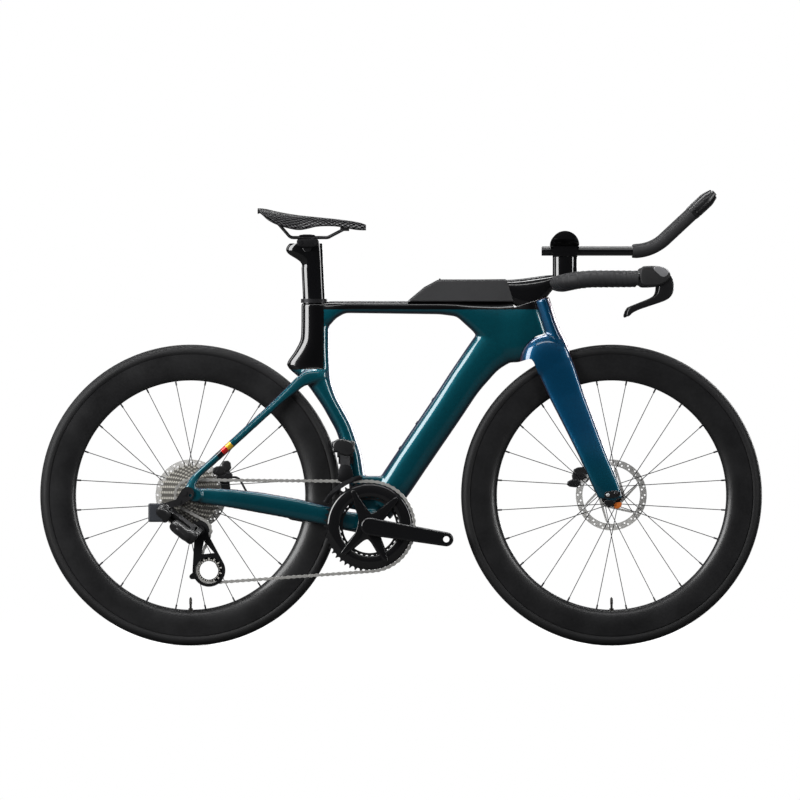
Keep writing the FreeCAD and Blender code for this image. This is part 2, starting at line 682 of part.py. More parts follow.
keep("chainring_large", solids("chainring_large", [
    make_ring(RING_TEETH, ring_gap_angle, -dims.chainline, 83, 17, True)]))
ring_bolts = []
for tip in ring_tips:
    low, high = -(dims.chainline + half_cog), -(ring_inner - half_cog)
    shank = y_rod(BOLT_RADIUS, tip.x, tip.z, low, high)
    head = y_rod(BOLT_RADIUS + 1.5, tip.x, tip.z, low - 1.6, low)
    nut = y_rod(BOLT_RADIUS + 1.5, tip.x, tip.z, high, high + 1.2)
    key = y_rod(2.5, tip.x, tip.z, low - 3, low + 1)
    ring_bolts.append(shank.multiFuse([head, nut]).cut(key))
small_ring = make_ring(SMALL_RING_TEETH, 0, -ring_inner, 60, 9, False)
keep("chainring_small", solids("chainring_small", [small_ring] + ring_bolts))

cup_bore = dims.spindle_radius + dims.running_fit
cup_profile = [(cup_bore, 14), (dims.shell_radius - 6, 14), (dims.shell_radius - 6, dims.shell_half_width),
               (dims.shell_radius - 2, dims.shell_half_width),
               (dims.shell_radius - 2, dims.shell_half_width + 6), (cup_bore, dims.shell_half_width + 6)]
keep("bottom_cups", group("bottom_cup_pair", [revolved("bottom_cup_left", [cup_profile], bottom),
                                              revolved("bottom_cup_right", [cup_profile], bottom, -ACROSS)]))

# Seatpost, seat tube pocket and collar: one aero outline along the post's own lean.
POST_LEAN = math.radians(2.7)
POST_FOOT, POST_POCKET, POST_FLARE = -130, -165, 70
post_up = Vector(-math.sin(POST_LEAN), 0, math.cos(POST_LEAN))
post_fit = dims.running_fit * 2


def post_station(height, chord, half_width, back=0.0):
    """An outline across the post at a height above the seat tube top, longer at the back by a distance."""
    middle = seat + post_up * height + Vector(1, 0, 0)
    return (middle + Vector(-chord / 2 - back, 0, 0), middle + Vector(chord / 2, 0, 0), half_width, 0)


def post_loft(low, high, grow):
    chord, half_width = dims.post_chord + 2 * grow, dims.post_half_width + grow
    return tube_loft([post_station(low, chord, half_width), post_station(high, chord, half_width)])


TILT_RADIUS = 11
tilt_axle = at_seat(-14, 117)
post_head = tube_loft([post_station(POST_FLARE, dims.post_chord, dims.post_half_width),
                       post_station(85, dims.post_chord, dims.post_half_width, 4),
                       post_station(97, dims.post_chord, dims.post_half_width + 1, 22),
                       post_station(125, dims.post_chord, dims.post_half_width + 2, 24)])
tilt_way = y_rod(TILT_RADIUS + dims.running_fit, tilt_axle.x, tilt_axle.z, -60, 60)
keep("seatpost", solids("seatpost", [
    post_loft(POST_FOOT, POST_FLARE, 0).fuse(post_head).cut(tilt_way)]))
collar = tube_loft([post_station(-9, dims.post_chord + 10, dims.post_half_width + 5),
                    post_station(0, dims.post_chord + 9, dims.post_half_width + 4.5)])
keep("seat_collar", solids("seat_collar", [collar.cut(post_loft(-30, 30, post_fit))]))

# Main frame: seat tube round the wheel, top tube into the head, down tube, shell and head barrel.
wheel_edge = dims.tyre_radius + dims.wheel_gap
tube_edge = wheel_edge + dims.seat_tube_chord


def wheel_station(degrees, half_width):
    """An outline across the lower seat tube, which follows the rear wheel."""
    turn = math.radians(degrees)
    return (rear + flat(turn, wheel_edge), rear + flat(turn, tube_edge), half_width, 0)


seat_tube = tube_loft([
    (at_seat(-28, -9.5), at_seat(32, -9.5), 17, 0), (at_seat(-28, -59), at_seat(35, -59), 17, 0),
    (at_seat(-29, -93), at_seat(35, -93), 17, 0), (at_seat(-45, -122), at_seat(35, -122), 17, 0),
    (at_seat(-65, -148), at_seat(36, -148), 17, 0), (at_seat(-48, -165), at_seat(37, -165), 18, 0),
    (at_seat(-17, -189), at_seat(40, -189), 19, 0), wheel_station(34, 20), wheel_station(24, 20),
    wheel_station(14, 21), wheel_station(4, 23), wheel_station(-5, 26)], 2.5)
top_tube = tube_loft([
    (at_seat(8, -12), at_seat(8, -66), 14, 0), (at_seat(35, -5), at_seat(35, -62), 16, 0),
    (at_seat(52, -5), at_seat(50, -44), 17, 0), (at_seat(73, -5), at_seat(71, -32), 17, 0),
    (at_seat(150, -5), at_seat(150, -33), 18, 0), (at_crown(-244, 134), at_crown(-244, 104), 18, 0),
    (at_crown(-208, 134), at_crown(-206, 99), 18.5, 0), (at_crown(-172, 133), at_crown(-170, 66), 19, 0),
    (at_crown(-108, 132), at_crown(-108, -6), 20, 0), (at_crown(-64, 130), at_crown(-62, -4), 20, 0),
    (at_crown(-34, 126), at_crown(-30, 20), 16, 0)], 2.6)
down_tube = tube_loft([
    (at_bottom(2, 74), at_bottom(46, 14), 27, 0), (at_bottom(28, 117), at_bottom(91, 74), 26, 0),
    (at_bottom(68, 177), at_bottom(130, 132), 24, 0), (at_bottom(142, 286), at_bottom(206, 243), 23, 0),
    (at_crown(-220, -25), at_crown(-157, -71), 22, 0), (at_crown(-176, 40), at_crown(-112, -20), 21, 0),
    (at_crown(-140, 90), at_crown(-70, 4), 19, 0)], 2.6)
shell = y_rod(dims.shell_radius, bottom.x, bottom.z, -dims.shell_half_width, dims.shell_half_width)
shell_saddle = tube_loft([
    (at_bottom(-30, 34), at_bottom(30, 34), 30, 0), (at_bottom(-28, 0), at_bottom(28, 0), 33, 0),
    (at_bottom(-14, -26), at_bottom(14, -26), 24, 0)])


def steer_rod(radius, low, high):
    """A cylinder on the steering axis between two distances up it from the crown centre."""
    return Part.makeCylinder(radius, float(high) - float(low), crown + steer_up * float(low), steer_up)


barrel = steer_rod(dims.head_radius, 40, dims.head_length)
frame_solid = seat_tube.multiFuse([top_tube, down_tube, shell, shell_saddle, barrel])
STEM_BACK = 40
BEARING_SEAT, BEARING_HEIGHT = 20, 8
lower_seat = float(dims.crown_radius) + 1
upper_seat = float(dims.head_length) - 14
spaces = [
    Part.makeSphere(dims.crown_radius, crown),
    steer_rod(STEM_BACK + 1, dims.head_length - dims.clearance * 2, dims.head_length + 60),
    steer_rod(dims.steerer_radius + 2.5, 0, dims.head_length + 40),
    steer_rod(BEARING_SEAT, 0, lower_seat + BEARING_HEIGHT),
    steer_rod(BEARING_SEAT, upper_seat, dims.head_length + 40),
    y_rod(dims.shell_radius - 6, bottom.x, bottom.z, -60, 60),
    post_loft(POST_POCKET, 40, post_fit), collar]
boss_out = (at_crown(-220, -25) - at_bottom(68, 177)).normalize().cross(ACROSS)
BOSS_PLACES = (at_bottom(68, 177), at_bottom(106, 233), at_bottom(142, 286))
BOSS_RADIUS, BOSS_DEPTH = 2.5, 16
spaces += [Part.makeCylinder(BOSS_RADIUS, BOSS_DEPTH + 20, place - boss_out * BOSS_DEPTH, boss_out)
           for place in BOSS_PLACES]
frame_solid = frame_solid.cut(Part.makeCompound(spaces))
frame_solid = max(frame_solid.Solids, key=lambda solid: solid.Volume)
keep("frame", solids("frame", [frame_solid]))
rings = []
for low in (lower_seat, upper_seat):
    ring = steer_rod(BEARING_SEAT, low, low + BEARING_HEIGHT)
    rings.append(ring.cut(steer_rod(dims.steerer_radius + dims.running_fit, 0, dims.head_length + 40)))
keep("headset_bearings", solids("headset_bearings", rings))

# Stays: both sides end on the main frame, and the dropouts belong to the chain stays.
DROPOUT = 8
drop_in = float(rear_half)
drop_out = drop_in + DROPOUT
axle_way = y_rod(dims.axle_radius + dims.running_fit, rear.x, rear.z, -120, 120)
stay_sides, seat_stay_sides = [], []
for side in (-1, 1):
    middle = side * (drop_in + DROPOUT / 2)
    stay = tube_loft([
        (at_bottom(-20, 30), at_bottom(-16, -12), 8, side * 22),
        (at_rear(359, -38), at_rear(359, -81), 8, side * 27),
        (at_rear(303, -23), at_rear(303, -68), 8, side * 32),
        (at_rear(246, -9), at_rear(246, -57), 8.5, side * 40),
        (at_rear(154, 7), at_rear(154, -40), 9, side * 55),
        (at_rear(89, 14), at_rear(89, -28), 8, side * 66),
        (at_rear(32, 17), at_rear(32, -20), 6, side * (drop_in - 4)),
        (at_rear(2, 17), at_rear(2, -15), 4, middle)])
    low, high = sorted((side * drop_in, side * drop_out))
    plate = round_arm(at_rear(14, 0), at_rear(-6, 4), 17, 17, low, high)
    plate = soften(plate, 2.5, lies_at(side * drop_out))
    hub_side = y_rod(46, rear.x, rear.z, *sorted((0, side * drop_in)))
    stay = stay.fuse(plate).cut(Part.makeCompound([axle_way, hub_side]))
    stay = max(stay.cut(frame_solid).Solids, key=lambda solid: solid.Volume)
    stay_sides.append(stay)
    seat_stay = tube_loft([
        (at_rear(-14, 16), at_rear(10, 16), 4.5, middle),
        (at_rear(-1, 41), at_rear(23, 41), 5.5, side * (drop_in - 4)),
        (at_rear(89, 124), at_rear(112, 121), 6.5, side * 62),
        (at_rear(187, 214), at_rear(211, 211), 6.5, side * 38),
        (at_rear(247, 272), at_rear(263, 258), 6.5, side * 25),
        (at_rear(288, 306), at_rear(300, 290), 7, side * 15)])
    seat_stay = seat_stay.cut(Part.makeCompound([frame_solid, stay, hub_side]))
    seat_stay_sides.append(max(seat_stay.Solids, key=lambda solid: solid.Volume))
keep("chainstays", solids("chainstays", stay_sides))
keep("seatstays", solids("seatstays", seat_stay_sides))

# Fork: crown within the ball joint of the head, nose over the head barrel, steerer and two legs.
FORK_DROPOUT = 9
fork_in = float(front_half)
play = float(dims.clearance)


def steer_point(out, height):
    return crown + steer_out * out + steer_up * height


crown_block = tube_loft([
    (steer_point(-58, -24), steer_point(56, -24), 37, 0), (steer_point(-62, 0), steer_point(56, 0), 37, 0),
    (steer_point(-60, 25), steer_point(52, 25), 34, 0), (steer_point(-44, 52), steer_point(46, 52), 29, 0),
    (steer_point(-20, 70), steer_point(42, 70), 26, 0)], 2.4)
crown_block = crown_block.common(Part.makeSphere(dims.crown_radius - play, crown))
nose = tube_loft([
    (steer_point(11, 30), steer_point(51, 30), 31, 0), (steer_point(11, 52), steer_point(46, 52), 28, 0),
    (steer_point(11, 80), steer_point(41, 80), 26, 0),
    (steer_point(11, dims.head_length), steer_point(40, dims.head_length), 25, 0)], 2.4)
nose = nose.cut(steer_rod(dims.head_radius + play, dims.crown_radius - 8, dims.head_length + 40))
leg_pieces = []
for side in (-1, 1):
    leg = tube_loft([
        (at_crown(-26, 14), at_crown(54, 14), 9, side * 28),
        (at_crown(-31, -8), at_crown(58, -6), 9, side * 29),
        (at_front(-144, 226), at_front(-62, 228), 8.5, side * 31),
        (at_front(-101, 142), at_front(-30, 142), 8, side * 41),
        (at_front(-74, 88), at_front(-10, 88), 7.5, side * 50),
        (at_front(-46, 25), at_front(17, 25), 6.5, side * 55),
        (at_front(-30, -8), at_front(24, -8), 5.5, side * (fork_in + FORK_DROPOUT / 2))], 2.4)
    low, high = sorted((side * fork_in, side * (fork_in + FORK_DROPOUT)))
    foot = round_arm(at_front(-6, 0), at_front(6, 0), 15, 15, low, high)
    hub_side = y_rod(40, front.x, front.z, *sorted((0, side * fork_in)))
    leg_pieces.append(leg.fuse(soften(foot, 2.5, lies_at(side * (fork_in + FORK_DROPOUT)))).cut(hub_side))
steerer = steer_rod(dims.steerer_radius, 20, dims.head_length + 30)
slot_half = half_tyre + dims.fork_gap
wheel_slot = y_rod(dims.tyre_radius + dims.fork_gap, front.x, front.z, -slot_half, slot_half)
fork_axle_way = y_rod(dims.axle_radius + dims.running_fit, front.x, front.z, -120, 120)
fork_solid = crown_block.multiFuse([nose, steerer] + leg_pieces)
fork_solid = fork_solid.cut(Part.makeCompound([wheel_slot, fork_axle_way]))
fork_solid = max(fork_solid.Solids, key=lambda solid: solid.Volume)
keep("fork", solids("fork", [fork_solid]))

# Base bar with stem: one loft from grip end to grip end, and a stem that turns clear of frame and box.
grip_side = float(dims.grip_half_spacing)


def bar_section(middle, heading, half_chord, half_height):
    """A closed outline across the bar: chord level and across the heading, height upright."""
    chord = Vector(heading.y, -heading.x, 0)
    ring = []
    for i in range(16):
        turn = 2 * math.pi * i / 16
        ring.append(middle + chord * (half_chord * math.cos(turn)) + UP * (half_height * math.sin(turn)))
    curve = Part.BSplineCurve()
    curve.interpolate(ring, PeriodicFlag=True)
    return Part.Wire(curve.toShape())


BAR_BEND, BAR_END, BAR_RISE, BAR_RADIUS = 138, 243, 53, 15.5


def bar_half(side):
    """Stations from the middle of the bar to one straight end: (place, heading in degrees, half sizes)."""
    stations = [((72, 0, 41), 90, 31, 17), ((72, 0.225, 40.5), 90, 30, 14), ((73, 0.45, 40), 89, 28, 12),
                ((76, 0.675, 40), 82, 25, 12), ((86, 0.85, 43.5), 58, 21, 13.5),
                ((106, 0.965, 49), 25, 17, 15), ((BAR_BEND, 1.0, BAR_RISE), 0, BAR_RADIUS, BAR_RADIUS)]
    wires = []
    for (x, share, z), degrees, half_chord, half_height in stations:
        turn = math.radians(degrees)
        heading = Vector(math.cos(turn), math.sin(turn), 0)
        middle = at_head(x, z) + Vector(0, grip_side * share, 0)
        if side < 0:
            heading = Vector(-heading.x, heading.y, 0)
            middle = Vector(middle.x, -middle.y, middle.z)
        wires.append(bar_section(middle, heading, half_chord, half_height))
    return wires


right_half, left_half = bar_half(-1), bar_half(1)
bar = Part.makeLoft(right_half[:0:-1] + left_half, True, False, False, 3)
straight_run = FORWARD * (BAR_END - BAR_BEND)
straight_ends = [Part.Face(half[-1]).extrude(straight_run) for half in (right_half, left_half)]
stem = tube_loft([
    (at_head(-58, 0), at_head(-58, 51), 20, 0), (at_head(-20, -14), at_head(-20, 53), 24, 0),
    (at_head(10, -16), at_head(10, 57), 24, 0), (at_head(40, 14), at_head(40, 61), 23, 0),
    (at_head(84, 28), at_head(84, 60), 21, 0)], 3.0)
stem_zone = steer_rod(STEM_BACK, dims.head_length + play / 2, dims.head_length + 120)
stem_front = Part.makeBox(160, 120, 160, at_head(0, -40) + Vector(0, -60, 0))
stem_floor = steer_rod(150, dims.head_length - 120, dims.head_length + play / 2)
stem = stem.common(stem_zone.fuse(stem_front)).cut(stem_floor)
base_bar = bar.multiFuse([stem] + straight_ends)
base_bar = base_bar.cut(steer_rod(dims.steerer_radius, 0, dims.head_length + 30)).removeSplitter()
base_bar = max(base_bar.Solids, key=lambda solid: solid.Volume)
keep("base_bar", solids("base_bar", [base_bar]))

# Grip sleeves on the base bar's straight ends.
SLEEVE_SIZES = ((146, 16.6), (158, 17.4), (190, 17.6), (241, 17.2))
sleeves = []
for side in (-1, 1):
    rings = [bar_section(at_head(x, BAR_RISE) + Vector(0, side * grip_side, 0), FORWARD, size, size)
             for x, size in SLEEVE_SIZES]
    sleeves.append(Part.makeLoft(rings, True, False).cut(base_bar))
keep("bar_grips", solids("bar_grips", sleeves))

# Brake levers: a hood on each grip end, slotted for its lever, with the pivot pin across the slot.
HOOD_HALF, PIN = 14.5, 3.0
lever_pivot = at_head(297, 62)
half_lever = dims.lever_thickness / 2


def side_outline(corners, low, high):
    """A plate across the bike from an outline of straight edges in the side view."""
    ring = [Vector(corner.x, low, corner.z) for corner in corners]
    return Part.Face(Part.makePolygon(ring + ring[:1])).extrude(Vector(0, high - low, 0))


def lies_level(edge):
    """Whether an edge keeps one place across the bike."""
    return abs(edge.BoundBox.YMax - edge.BoundBox.YMin) < 1e-3


hoods = []
for side in (-1, 1):
    middle = side * grip_side
    hood = side_outline([at_head(243, 36), at_head(243, 79), at_head(262, 81), at_head(292, 80),
                         at_head(307, 71), at_head(312, 60), at_head(306, 50), at_head(290, 36)],
                        middle - HOOD_HALF, middle + HOOD_HALF)
    hood = soften(hood, 4, lies_level)
    slot_half = half_lever + play
    slot = Part.makeBox(80, 2 * slot_half, 60, at_head(272, 12) + Vector(0, middle - slot_half, 0))
    slot = slot.cut(Part.makeBox(200, 100, 100, at_head(180, 74.5) + Vector(0, middle - 50, 0)))
    pin = y_rod(PIN, lever_pivot.x, lever_pivot.z, middle - HOOD_HALF, middle + HOOD_HALF)
    hoods.append(hood.cut(slot).fuse(pin))
    lever = side_outline([at_head(290, 70), at_head(302, 71), at_head(314, 60), at_head(321, 43),
                          at_head(318, 18), at_head(305, 4), at_head(281, -4), at_head(231, -21),
                          at_head(218, -33), at_head(213, -30), at_head(220, -12), at_head(228, -7),
                          at_head(279, 12), at_head(286, 20), at_head(287, 50)],
                         middle - half_lever, middle + half_lever)
    lever = soften(lever, 2.2, lies_level)
    lever = lever.cut(y_rod(PIN + dims.running_fit, lever_pivot.x, lever_pivot.z, middle - 40, middle + 40))
    node = "brake_lever_left" if side > 0 else "brake_lever_right"
    keep(node, solids(node, [lever]))
keep("lever_hoods", solids("lever_hoods", hoods))

# Risers, extensions with sleeves, end pods with buttons, and the arm rests over them.
ext_side = float(dims.extension_half_spacing)
ext_radius = float(dims.extension_radius)
EXT_HEIGHT, EXT_FROM, BEND_FROM, BEND_RADIUS, EXT_RISE, EXT_TAIL = 116, 27, 235, 100, 43, 84
CUP_RADIUS, CUP_WALL, CUP_MIDDLE, PAD_DEPTH = 52, 3, 179, 9
POD_NECK, POD_BODY, POD_TIP = 12, 32, 22
cup_side = ext_side + 8
rise = math.radians(EXT_RISE)
tail_out = Vector(math.cos(rise), 0, math.sin(rise))


def extension_path(start_x, side):
    """A straight run, a tangent arc upward and a straight tail."""
    aside = Vector(0, side * ext_side, 0)
    start, bend = at_head(start_x, EXT_HEIGHT) + aside, at_head(BEND_FROM, EXT_HEIGHT) + aside
    centre = bend + UP * BEND_RADIUS
    bend_end = centre + Vector(math.sin(rise), 0, -math.cos(rise)) * BEND_RADIUS
    bend_middle = centre + Vector(math.sin(rise / 2), 0, -math.cos(rise / 2)) * BEND_RADIUS
    tail = bend_end + tail_out * EXT_TAIL
    edges = [Part.LineSegment(start, bend), Part.Arc(bend, bend_middle, bend_end),
             Part.LineSegment(bend_end, tail)]
    return Part.Wire([edge.toShape() for edge in edges]), start, tail


def swept(path, start, radius):
    ring = Part.Wire(Part.makeCircle(radius, start, FORWARD))
    return path.makePipeShell([ring], True, False)


for side, word in ((-1, "right"), (1, "left")):
    path, start, tail = extension_path(EXT_FROM, side)
    tube = swept(path, start, ext_radius)
    keep("extension_" + word, solids("extension_" + word, [tube]))
    sleeve_path, sleeve_start, sleeve_tail = extension_path(BEND_FROM - 4, side)
    sleeve = swept(sleeve_path, sleeve_start, ext_radius + 5.5)
    pod_size = ext_radius + 6
    pod = Part.makeCone(pod_size, pod_size + 1, POD_NECK, tail, tail_out)
    pod_shoulder = tail + tail_out * (POD_NECK + POD_BODY)
    pod = pod.fuse([Part.makeCylinder(pod_size + 1, POD_BODY, tail + tail_out * POD_NECK, tail_out),
                    Part.makeCone(pod_size + 1, pod_size - 5, POD_TIP, pod_shoulder, tail_out)])
    button_radius, button_depth = 6.5, 6
    well_floor = pod_shoulder + tail_out * (POD_TIP - button_depth)
    well = Part.makeCylinder(button_radius + play, button_depth, well_floor, tail_out)
    pod = pod.cut(well).removeSplitter()
    keep("extension_grip_" + word, solids("extension_grip_" + word, [sleeve.cut(tube), pod]))
    button = Part.makeCylinder(button_radius, 6.5, well_floor + tail_out * 2.5, tail_out)
    top_height = well_floor.z + tail_out.z * (button_depth + 2)
    button = button.makeFillet(1.2, [edge for edge in button.Edges if edge.CenterOfMass.z > top_height])
    keep("shift_button_" + word, solids("shift_button_" + word, [button]))

risers, cups, pads = [], [], []
for side in (-1, 1):
    aside = Vector(0, side * ext_side, 0)
    foot = at_head(79, 36) + aside
    outline = Part.Wire(Part.Ellipse(foot, 27, 14).toShape())
    column = Part.Face(outline).extrude(UP * 74)
    clamp = Part.makeBox(54, 32, 26, at_head(52, 102) + aside - Vector(0, 16, 0))
    clamp = soften(clamp, 4, lambda edge: abs(edge.BoundBox.XMax - edge.BoundBox.XMin) > 50)
    ext_way = Part.makeCylinder(ext_radius + dims.running_fit, 300, at_head(-60, EXT_HEIGHT) + aside, FORWARD)
    cup_axis = at_head(0, CUP_MIDDLE) + Vector(0, side * cup_side, 0)
    cup_space = Part.makeCylinder(CUP_RADIUS, 400, cup_axis - FORWARD * 100, FORWARD)
    risers.append(column.fuse(clamp).cut(Part.makeCompound([base_bar, ext_way, cup_space])))
    skin = Part.makeCylinder(CUP_RADIUS, 200, cup_axis, FORWARD)
    skin = skin.cut(Part.makeCylinder(CUP_RADIUS - CUP_WALL, 400, cup_axis - FORWARD * 100, FORWARD))
    dome_edges = [Part.LineSegment(at_head(46, 120), at_head(46, 131)),
                  Part.Arc(at_head(46, 131), at_head(77, 160), at_head(110, 131)),
                  Part.LineSegment(at_head(110, 131), at_head(110, 120)),
                  Part.LineSegment(at_head(110, 120), at_head(46, 120))]
    dome = Part.Face(Part.Wire([edge.toShape() for edge in dome_edges])).extrude(ACROSS * 400)
    dome.translate(ACROSS * -200)
    cups.append(max(skin.common(dome).Solids, key=lambda solid: solid.Volume))
    # The pad is a crowned strip turned about the cup's axis and drawn in towards its ends.
    floor = CUP_RADIUS - CUP_WALL
    strip = [Vector(52, 0, -floor), Vector(104, 0, -floor), Vector(103, 0, -floor + 4),
             Vector(78, 0, -floor + PAD_DEPTH), Vector(53, 0, -floor + 4)]
    edges = [Part.LineSegment(strip[0], strip[1]), Part.LineSegment(strip[1], strip[2]),
             Part.Arc(strip[2], strip[3], strip[4]), Part.LineSegment(strip[4], strip[0])]
    face = Part.Face(Part.Wire([edge.toShape() for edge in edges]))
    face.translate(at_head(0, CUP_MIDDLE) + Vector(0, side * cup_side, 0))
    face.rotate(cup_axis, FORWARD, -38)
    pad = face.revolve(cup_axis, FORWARD, 76)
    pad_low = cup_axis.z - (floor - 1) * math.cos(math.radians(38))
    pads.append(soften(pad, 2.5, lambda edge: edge.Length > 40 and edge.CenterOfMass.z > pad_low
                       and abs(edge.CenterOfMass.y - cup_axis.y) > 15))
keep("risers", solids("risers", risers))
keep("arm_cups", solids("arm_cups", cups))
keep("arm_pads", solids("arm_pads", pads))

# Storage box behind the stem: hollow, with a lid hinged at its rear edge.
BOX_HALF, BOX_WALL, LID_HALF, LID_THICK = 22, 2.5, 17, 6
LID_FROM, LID_TO = -203, -72
LID_PIVOT, BARREL_HALF = 2.2, 13
box = side_outline([at_head(-275, 4), at_head(-238, 35), at_head(-208, 51), at_head(-30, 53),
                    at_head(-30, 4)], -BOX_HALF, BOX_HALF)
box = soften(box, 5, lambda edge: lies_level(edge) and edge.CenterOfMass.z > at_head(0, 10).z)
hollow = side_outline([at_head(-245, 8), at_head(-225, 32), at_head(-205, 45), at_head(-62, 45),
                       at_head(-52, 8)], -BOX_HALF + BOX_WALL, BOX_HALF - BOX_WALL)
lid_length = LID_TO - LID_FROM
mouth_half, neck_half = LID_HALF + play, LID_HALF - 5
mouth = Part.makeBox(lid_length + 2 * play, 2 * mouth_half, 30,
                     at_head(LID_FROM - play, 46) - Vector(0, mouth_half, 0))
neck = Part.makeBox(lid_length - 14, 2 * neck_half, 20, at_head(LID_FROM + 7, 40) - Vector(0, neck_half, 0))
stem_sweep = steer_rod(STEM_BACK + 1, -50, dims.head_length + 120)
box = box.cut(Part.makeCompound([hollow.cut(stem_sweep), stem_sweep]))
lid_axis = at_head(LID_FROM, 52)
barrel_way = y_rod(LID_PIVOT + play, lid_axis.x, lid_axis.z, -BARREL_HALF - play, BARREL_HALF + play)
box = box.cut(mouth.multiFuse([neck, barrel_way])).cut(frame_solid)
keep("storage_box", solids("storage_box", [max(box.Solids, key=lambda solid: solid.Volume)]))
lid = Part.makeBox(lid_length, 2 * LID_HALF, LID_THICK, at_head(LID_FROM, 46) - Vector(0, LID_HALF, 0))
lid = soften(lid, 1.5, lambda edge: edge.CenterOfMass.z > at_head(0, 51.5).z)
lid = lid.fuse(y_rod(LID_PIVOT, lid_axis.x, lid_axis.z, -BARREL_HALF, BARREL_HALF))
keep("box_lid", solids("box_lid", [lid.removeSplitter()]))

# Saddle: padded cover on a shell, both lofted through arcs, with two rails in a tilting clamp.
RAIL, RAIL_SIDE, RAIL_HEIGHT = 3.5, 22, 138
PAD, SHELL = 9, 4
SADDLE_STATIONS = ((-126, 204, 197, 34), (-112, 204, 186, 60), (-88, 198, 170, 69), (-58, 192, 160, 64),
                   (-30, 188, 156, 47), (10, 184, 164, 31), (50, 180, 164, 25), (88, 175, 157, 22),
                   (108, 171, 155, 19), (118, 167, 155, 12))


def saddle_section(x, top, edge, half, depth, lip):
    """A crowned strip: an arc over the top, short upright sides and an arc underneath."""
    high, low = at_seat(x, edge + lip), at_seat(x, edge)
    left, right = Vector(0, half, 0), Vector(0, -half, 0)
    edges = [Part.Arc(high + right, at_seat(x, top), high + left),
             Part.LineSegment(high + left, low + left),
             Part.Arc(low + left, at_seat(x, top - depth), low + right),
             Part.LineSegment(low + right, high + right)]
    return Part.Wire([edge.toShape() for edge in edges])


cover = Part.makeLoft([saddle_section(x, top, edge, half, PAD, 3.0)
                       for x, top, edge, half in SADDLE_STATIONS], True, False)
under = Part.makeLoft([saddle_section(x, top - 1, edge - 0.5, half - 2.5, PAD + SHELL - 1, 2.0)
                       for x, top, edge, half in SADDLE_STATIONS], True, False)
sockets, rails = [], []
for side in (-1, 1):
    aside, nose_side = Vector(0, side * RAIL_SIDE, 0), Vector(0, side * 10, 0)
    corners = [at_seat(-80, 170) + aside, at_seat(-52, RAIL_HEIGHT) + aside, at_seat(32, RAIL_HEIGHT) + aside,
               at_seat(74, 160) + nose_side]
    bend = 14
    edges, last = [], corners[0]
    for before, corner, after in zip(corners, corners[1:], corners[2:]):
        into, out = (corner - before).normalize(), (after - corner).normalize()
        half_turn = into.getAngle(out) / 2
        reach = bend * math.tan(half_turn)
        start, end = corner - into * reach, corner + out * reach
        inward = (out - into).normalize()
        centre = corner + inward * (bend / math.cos(half_turn))
        edges += [Part.LineSegment(last, start), Part.Arc(start, centre - inward * bend, end)]
        last = end
    edges.append(Part.LineSegment(last, corners[-1]))
    path = Part.Wire([edge.toShape() for edge in edges])
    first = (corners[1] - corners[0]).normalize()
    rails.append(path.makePipeShell([Part.Wire(Part.makeCircle(RAIL, corners[0], first))], True, False))
    sockets += [Part.makeBox(20, 13, 16, at_seat(-88, 161) + aside - Vector(0, 6.5, 0)),
                Part.makeBox(20, 11, 16, at_seat(60, 153) + nose_side - Vector(0, 5.5, 0))]
under = under.multiFuse(sockets).cut(cover).cut(Part.makeCompound(rails))
keep("saddle_cover", solids("saddle_cover", [cover]))
keep("saddle_shell", solids("saddle_shell", [max(under.Solids, key=lambda solid: solid.Volume)]))
keep("saddle_rails", solids("saddle_rails", rails))
clamp_half = float(dims.post_half_width) + 3
cheeks = [y_rod(TILT_RADIUS, tilt_axle.x, tilt_axle.z, -clamp_half - 14, clamp_half + 14)]
for side in (-1, 1):
    low, high = sorted((side * clamp_half, side * (clamp_half + 14)))
    cheek = round_arm(at_seat(-14, 117), at_seat(-14, 119), 15, 15, low, high)
    jaw = Part.makeBox(46, 14, 21, at_seat(-34, 125) + Vector(0, low, 0))
    cheeks += [cheek, soften(jaw, 3, lambda edge: abs(edge.BoundBox.ZMax - edge.BoundBox.ZMin) > 15)]
clamp = cheeks[0].multiFuse(cheeks[1:])
rail_ways = []
for side in (-1, 1):
    rail_start = at_seat(-120, RAIL_HEIGHT) + Vector(0, side * RAIL_SIDE, 0)
    rail_ways.append(Part.makeCylinder(RAIL + dims.running_fit, 200, rail_start, FORWARD))
keep("saddle_clamp", solids("saddle_clamp", [clamp.cut(Part.makeCompound(rail_ways))]))

# Rear derailleur: hanger, fixed knuckle, two parallel links, moving knuckle, cage and two pulleys.
LINK_SLOPE, LINK_SLANT = -38.7, 48
LINK_APART, LINK_RADIUS, LINK_HALF, LINK_PIN = 9, 5, 6, 2
link_out = flat(math.radians(LINK_SLOPE), 1)
link_rise = link_out.cross(ACROSS)
hinge = link_rise * math.cos(math.radians(LINK_SLANT)) + ACROSS * math.sin(math.radians(LINK_SLANT))
throw = hinge.cross(link_out)
outboard = -(drop_in + 1)
moving = at_rear(2, -80) + Vector(0, outboard, 0)
fixed = moving - link_out * float(dims.link_length)
ear_in = LINK_HALF + play
ear_out = ear_in + 3.5


def strap(start, end, axis, radius, low, high):
    """A plate with two equal round ends, its thickness along a hinge axis."""
    run = end - start
    made = stadium(radius, run.Length, low, high - low)
    unit = run * (1 / run.Length)
    made.Placement = Placement(start, Rotation(unit, axis, unit.cross(axis), "XYZ"))
    return made


def link_box(origin, along, aside, depth, rounding=0.0):
    """A box in the links' own directions, from ranges along the link, across it and along the hinge."""
    made = Part.makeBox(along[1] - along[0], aside[1] - aside[0], depth[1] - depth[0])
    if rounding:
        made = made.makeFillet(rounding, made.Edges)
    corner = origin + link_out * along[0] + throw * aside[0] + hinge * depth[0]
    made.Placement = Placement(corner, Rotation(link_out, throw, hinge, "XYZ"))
    return made


def hinge_pin(place, radius, low, high):
    return Part.makeCylinder(radius, high - low, place + hinge * low, hinge)


